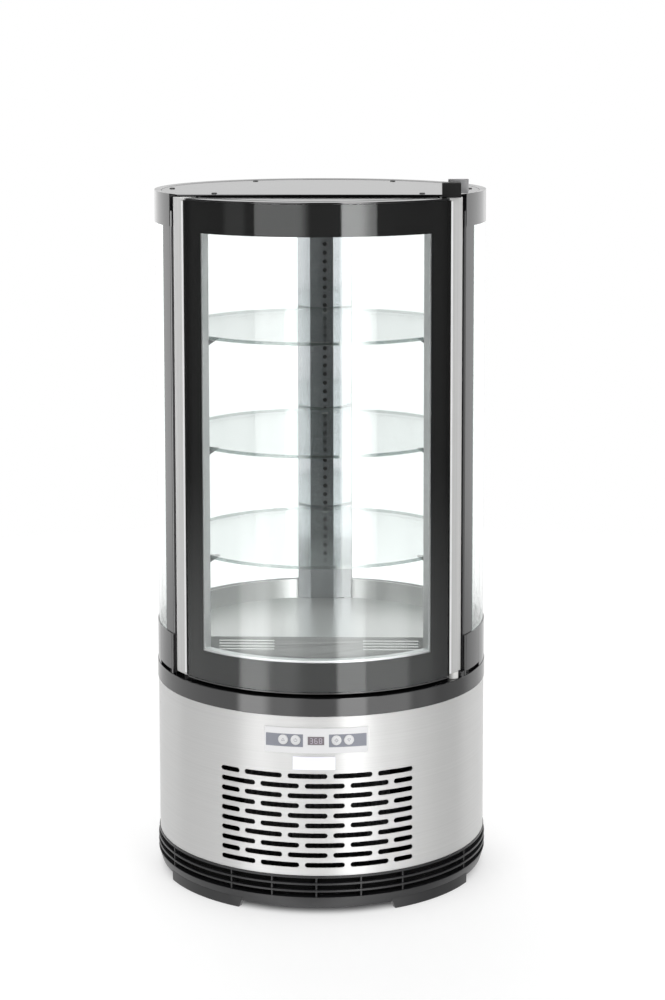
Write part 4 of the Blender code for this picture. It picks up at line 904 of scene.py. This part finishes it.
hole_line = column_folds[3] + COLUMN_PATH[3][0]
air_holes = [
    round_hole(hole_line, FIRST_HOLE + HOLE_PITCH * index, HOLE_RADIUS, 16) for index in range(HOLE_COUNT)
]
duct = punched((0, 0.3333), (column_folds[-1], 0.9327), air_holes, column_folds[1:-1])
duct = folded(duct, COLUMN_PATH, column_folds)
front_face = min(duct.faces, key=lambda each: each.calc_center_median().y)
if front_face.normal.y > 0:
    bmesh.ops.reverse_faces(duct, faces=duct.faces)
bmesh.ops.solidify(duct, geom=duct.faces[:], thickness=0.0012)
column_steel = polished_steel("column_stainless", (0.37, 0.385, 0.40), (0.43, 0.445, 0.46), 0.11)
# A near-black strip behind the holes: a foam lining darkened as painted shade inside the duct.
painted_shade_backing = block((-0.0180, 0.2078, 0.3340), (0.0100, 0.2088, 0.9320))
for face in painted_shade_backing.faces:
    face.material_index = 1
column = gathered(duct, painted_shade_backing)
piece(
    "rear_column_duct", column, [column_steel, black_foam_painted_shade], "case", "shell_steel", "rear_column", sharpest=10
)


# Posts: glossy black uprights at both sides of the door opening that hold the ends of the glass,
# with a thin lip towards the door.
for side in ("left", "right"):
    eased(f"{side}_post_upright", f"{side}_post", 0.0006, collar_black, "gloss_black")
lip_outline = [(0.2312, 0.3030), (0.2312, 0.9300), (0.2300, 0.9300), (0.2300, 0.3030)]
lips = [
    round_off(spun(lip_outline, *span, 0.3), 0.0002) for span in ((-60.4, -59.4), (59.8, 60.4))
]
piece("post_lips", gathered(*lips), collar_black, "case", "gloss_black")


# Top ring: glossy black ring that caps the fixed glass, with a rail across the front and a ledge
# that the ceiling and the cover sit in.
top_ring = spun([
    (0.2340, 0.9308), (0.2340, 0.9756), (0.2247, 0.9744), (0.2247, 0.9722), (0.2150, 0.9722),
    (0.2150, 0.9330), (0.2168, 0.9330), (0.2168, 0.9526), (0.2335, 0.9526), (0.2335, 0.9308),
], 60.3, 299.7)
piece("top_ring_cap", round_off(top_ring, 0.0002), collar_black, "case", "gloss_black", "top_ring")
eased("top_front_rail_bar", "top_front_rail", 0.0005, collar_black, "gloss_black")


# Ceiling: a white painted plate above the shelves with a lamp behind a milky diffuser at the front.
liner_finish = Finish("ceiling_white_paint")
liner_clouds = liner_finish.noise(12)
liner_paint = liner_finish.close(
    Base_Color=liner_finish.blend(liner_clouds, (0.70, 0.70, 0.69), (0.76, 0.76, 0.75)),
    Roughness=liner_clouds * 0.1 + 0.28,
    Normal=liner_finish.bump(liner_finish.noise(260), 0.00002),
)
eased("ceiling_liner_plate", "ceiling_liner", 0.0003, liner_paint, "liner_metal")
diffuser = moulded_plastic("lamp_milky_diffuser", (0.80, 0.80, 0.78), (0.86, 0.86, 0.84), 0.4)
eased("led_lamp_diffuser", "led_lamp", 0.0015, diffuser, "lamp_diffuser", segments=3)


# Top cover: a glossy black plate in the top ring, held by six small screws.
cover = round_off(trimmed(disc(0.2242, 0.9725, 0.9742), (0, -0.1160, 0), (0, -1, 0)), 0.0003)
piece("top_cover_plate", cover, collar_black, "case", "gloss_black", "top_cover")
screw_steel = bare_metal("blackened_screw_steel", (0.05, 0.05, 0.05), (0.09, 0.09, 0.09), 0.35, 300)
screws = []
rim_screws = [on_plan(0.211, angle) for angle in (93, -93, 151, -151)]
for x, y in [*rim_screws, (0.143, -0.094), (-0.143, -0.094)]:
    head = bmesh.new()
    bmesh.ops.create_cone(
        head, cap_ends=True, segments=24, radius1=0.0042, radius2=0.0036, depth=0.0012,
        matrix=Matrix.Translation((0, 0, 0.9748)),
    )
    round_off(head, 0.0003)
    recess = [
        block((-0.0022, -0.0004, 0.97541), (0.0022, 0.0004, 0.97545)),
        block((-0.0004, -0.0022, 0.97541), (0.0004, 0.0022, 0.97545)),
    ]
    screw = gathered(head, *recess)
    bmesh.ops.translate(screw, verts=screw.verts, vec=(x, y, 0))
    screws.append(screw)
piece("top_cover_screws", gathered(*screws), screw_steel, "case", "gloss_black")


# Shelves: round glass plates with polished edges. Each lies on two tapered steel arms at the front
# and a small clip on the column.
shelf_glass = clear_glass("shelf_float_glass", (0.93, 0.95, 0.945), 0.03)
shelf_edge = clear_glass("shelf_polished_edge", (0.40, 0.45, 0.44), 0.12)
arm_grey = bare_metal("arm_grey_steel", (0.22, 0.22, 0.225), (0.32, 0.32, 0.325), 0.4, 150)
clip_steel = polished_steel("clip_stainless", (0.57, 0.57, 0.56), (0.68, 0.68, 0.675), 0.2)
SHELF_TOPS = (0.4770, 0.6290, 0.7820)
SHELF_THICKNESS = 0.005
for number, top in enumerate(SHELF_TOPS, 1):
    shelf = f"shelf_{number}"
    plate = round_off(disc(0.2020, top - SHELF_THICKNESS, top), 0.0007)
    for face in plate.faces:
        face.material_index = 0 if abs(face.normal.z) > 0.9 else 1
    piece(f"{shelf}_plate", plate, [shelf_glass, shelf_edge], "case", "clear_glass", shelf)
    for side in ("left", "right"):
        eased(f"{shelf}_{side}_bracket", f"{shelf}_{side}_arm", 0.0004, arm_grey, "bracket_steel")
    eased(f"{shelf}_clip", f"{shelf}_rear_clip", 0.0003, clip_steel, "bracket_steel")


# Door glass: two curved panes, the outer one full height with a black border printed on its back and
# its two upright edges. A light metal spacer keeps the panes apart.
DOOR_RADIUS = 0.2307
DOOR_HALF = 51.15
OPENING_LEFT = -43.9
OPENING_RIGHT = 43.2
OPENING_BOTTOM = 0.3492
OPENING_TOP = 0.9250
SPACER_RADIUS = 0.2259
door_glass = clear_glass("door_float_glass", (0.994, 0.998, 0.997), 0.072)
bare_back = clear_glass("door_glass_back", (0.994, 0.998, 0.997), 0.010)
border_finish = Finish("border_black_print")
border_clouds = border_finish.noise(60)
border_black = border_finish.close(
    Base_Color=border_finish.blend(border_clouds, (0.003, 0.003, 0.003), (0.005, 0.005, 0.005)),
    Roughness=border_clouds * 0.1 + 0.5,
    Specular_IOR_Level=0.1,
)
outer_door = pane(DOOR_RADIUS, GLASS_THICKNESS, 0.3095, 0.9685, -DOOR_HALF, DOOR_HALF)
opening = [((0, 0, height), (0, 0, 1)) for height in (OPENING_BOTTOM, OPENING_TOP)]
opening += [((0, 0, 0), (*on_plan(1, angle + 90), 0)) for angle in (OPENING_LEFT, OPENING_RIGHT)]
for point, direction in opening:
    bmesh.ops.bisect_plane(
        outer_door, geom=[*outer_door.verts, *outer_door.edges, *outer_door.faces], plane_co=point,
        plane_no=direction,
    )
for face in outer_door.faces:
    middle = face.calc_center_median()
    angle = math.degrees(math.atan2(middle.x, -middle.y))
    if face.material_index == 0 and middle.xy.length < DOOR_RADIUS - GLASS_THICKNESS / 2:
        clear = OPENING_LEFT < angle < OPENING_RIGHT and OPENING_BOTTOM < middle.z < OPENING_TOP
        face.material_index = 3 if clear else 2
    if face.material_index == 1 and abs(angle) > DOOR_HALF - 0.05:
        face.material_index = 2
piece(
    "door_outer_pane", outer_door, [door_glass, pane_edge, border_black, bare_back], "door", "clear_glass",
    "door_outer_glass",
)
inner_door = pane(0.2144, GLASS_THICKNESS, 0.3256, 0.9497, -50.15, 50.15)
piece("door_inner_pane", inner_door, [pane_glass, pane_edge], "door", "clear_glass", "door_inner_glass")

spacer_metal = bare_metal("spacer_aluminium", (0.74, 0.75, 0.75), (0.84, 0.85, 0.85), 0.44, 200)
half, left, right = (math.radians(angle) * SPACER_RADIUS for angle in (DOOR_HALF, -43.3, 42.5))
spacer = punched(
    (-half, 0.3256), (half, 0.9497), [[(left, 0.3525), (right, 0.3525), (right, 0.9256), (left, 0.9256)]],
    cuts_along(-half, half, 2, SPACER_RADIUS),
)
spacer = rolled(spacer, SPACER_RADIUS, 0.0112)
piece("door_spacer_sheet", spacer, spacer_metal, "door", "base_plastic", "door_spacer_frame")


# Door caps: glossy black crescents that close the top and bottom of the door, each with a lip over
# the outer glass; a groove runs round the top one.
CAP_BACK = -0.11882


def crescent(outline):
    """A cap turned about Z, cut straight across its back and along the two edge profiles."""
    shape = spun(outline, -62, 62)
    trimmed(shape, (0, CAP_BACK, 0), (0, 1, 0))
    for side in (-1, 1):
        front = Vector(on_plan(DOOR_RADIUS, side * 51.3))
        back = Vector((side * 0.16585, CAP_BACK))
        along = front - back
        across = Vector((-along.y, along.x)) * side
        across = across if across.x * side > 0 else -across
        trimmed(shape, (back.x - side * 0.0002, back.y, 0), (across.x, across.y, 0))
    return shape


top_cap = crescent([
    (DOOR_RADIUS, 0.9688), (DOOR_RADIUS, 0.9712), (0.2100, 0.9712), (0.2100, 0.9695), (0.2030, 0.9695),
    (0.2030, 0.9712), (0.1000, 0.9712), (0.1000, 0.9500), (0.2264, 0.9500), (0.2264, 0.9688),
])
bottom_cap = crescent([
    (DOOR_RADIUS, 0.3068), (DOOR_RADIUS, 0.3092), (0.2264, 0.3092), (0.2264, 0.3253), (0.1000, 0.3253),
    (0.1000, 0.3068),
])
for cap, name in ((top_cap, "door_top_cap"), (bottom_cap, "door_bottom_cap")):
    piece(f"{name}_moulding", round_off(cap, 0.0004), collar_black, "door", "gloss_black", name)


# Door edges: brushed anodised aluminium profiles, the handle side at the left and the hinge side at
# the right, each with a pale bead and a black seal beside the glass, and a soft black gasket in a
# groove along the back. The pale bead is a painted highlight: a near-white strip for the bright line
# that the rounded inner edge of the aluminium catches.
strip_metal = brushed_steel(
    "anodised_aluminium", (0.61, 0.61, 0.605), (0.71, 0.71, 0.705), 0.34, (1300, 1300, 5)
)
eased("door_handle_strip", "door_handle_profile", 0.0007, strip_metal, "door_aluminium", "door")
eased("door_hinge_strip", "door_hinge_profile", 0.0007, strip_metal, "door_aluminium", "door")
# Painted highlight: near-white for the bright line on the rounded aluminium edge.
bead_painted_highlight_white = moulded_plastic("bead_painted_highlight", (0.84, 0.84, 0.84), (0.91, 0.91, 0.91), 0.3)
beads = []
bead_outline = [(0.2311, 0.3118), (0.2311, 0.9668), (0.2300, 0.9668), (0.2300, 0.3118)]
for start in (51.95, -53.15):
    beads.append(round_off(spun(bead_outline, start, start + 1.05, 0.35), 0.0002))
strip_foot = spun([(0.2306, 0.3084), (0.2306, 0.3122), (0.2240, 0.3122), (0.2240, 0.3084)], -58.9, -52.0)
beads.append(round_off(strip_foot, 0.0004))
for face in strip_foot.faces:
    face.material_index = 1
piece("door_edge_highlight_beads", gathered(*beads), [bead_painted_highlight_white, strip_metal], "door", "door_aluminium")
seal_outline = [(0.23075, 0.3096), (0.23075, 0.9684), (0.2300, 0.9684), (0.2300, 0.3096)]
seals = [spun(seal_outline, *span, 0.5) for span in ((51.1, 51.95), (-52.1, -51.1))]
piece("door_edge_seals", gathered(*seals), border_black, "door", "dark_rubber")
rubber = moulded_plastic("gasket_rubber", (0.012, 0.012, 0.012), (0.020, 0.020, 0.020), 0.62)
eased("door_gasket_seal", "door_gasket", 0.0015, rubber, "dark_rubber", "door", segments=3)


# Hinge: a bent steel bracket on the top ring holds a black block with the upper pin; below, the
# door turns on a pin in a white plastic bush.
bracket_steel = bare_metal("bracket_grey_steel", (0.28, 0.28, 0.285), (0.40, 0.40, 0.405), 0.36, 120)
eased("top_hinge_plate", "top_hinge_bracket", 0.0006, bracket_steel, "bracket_steel")
block_black = moulded_plastic(
    "hinge_black_plastic", (0.004, 0.004, 0.004), (0.008, 0.008, 0.008), 0.40, 0.2
)
eased("top_hinge_pivot", "top_hinge_block", 0.0008, block_black, "gloss_black")
bush_white = moulded_plastic("bush_white_nylon", (0.70, 0.70, 0.68), (0.78, 0.78, 0.76), 0.4)
eased("bottom_hinge_bearing", "bottom_hinge_bush", 0.0006, bush_white, "bush_plastic")
dress(polished_steel("pin_steel", (0.57, 0.57, 0.56), (0.68, 0.68, 0.675), 0.2), "bottom_hinge_pin")
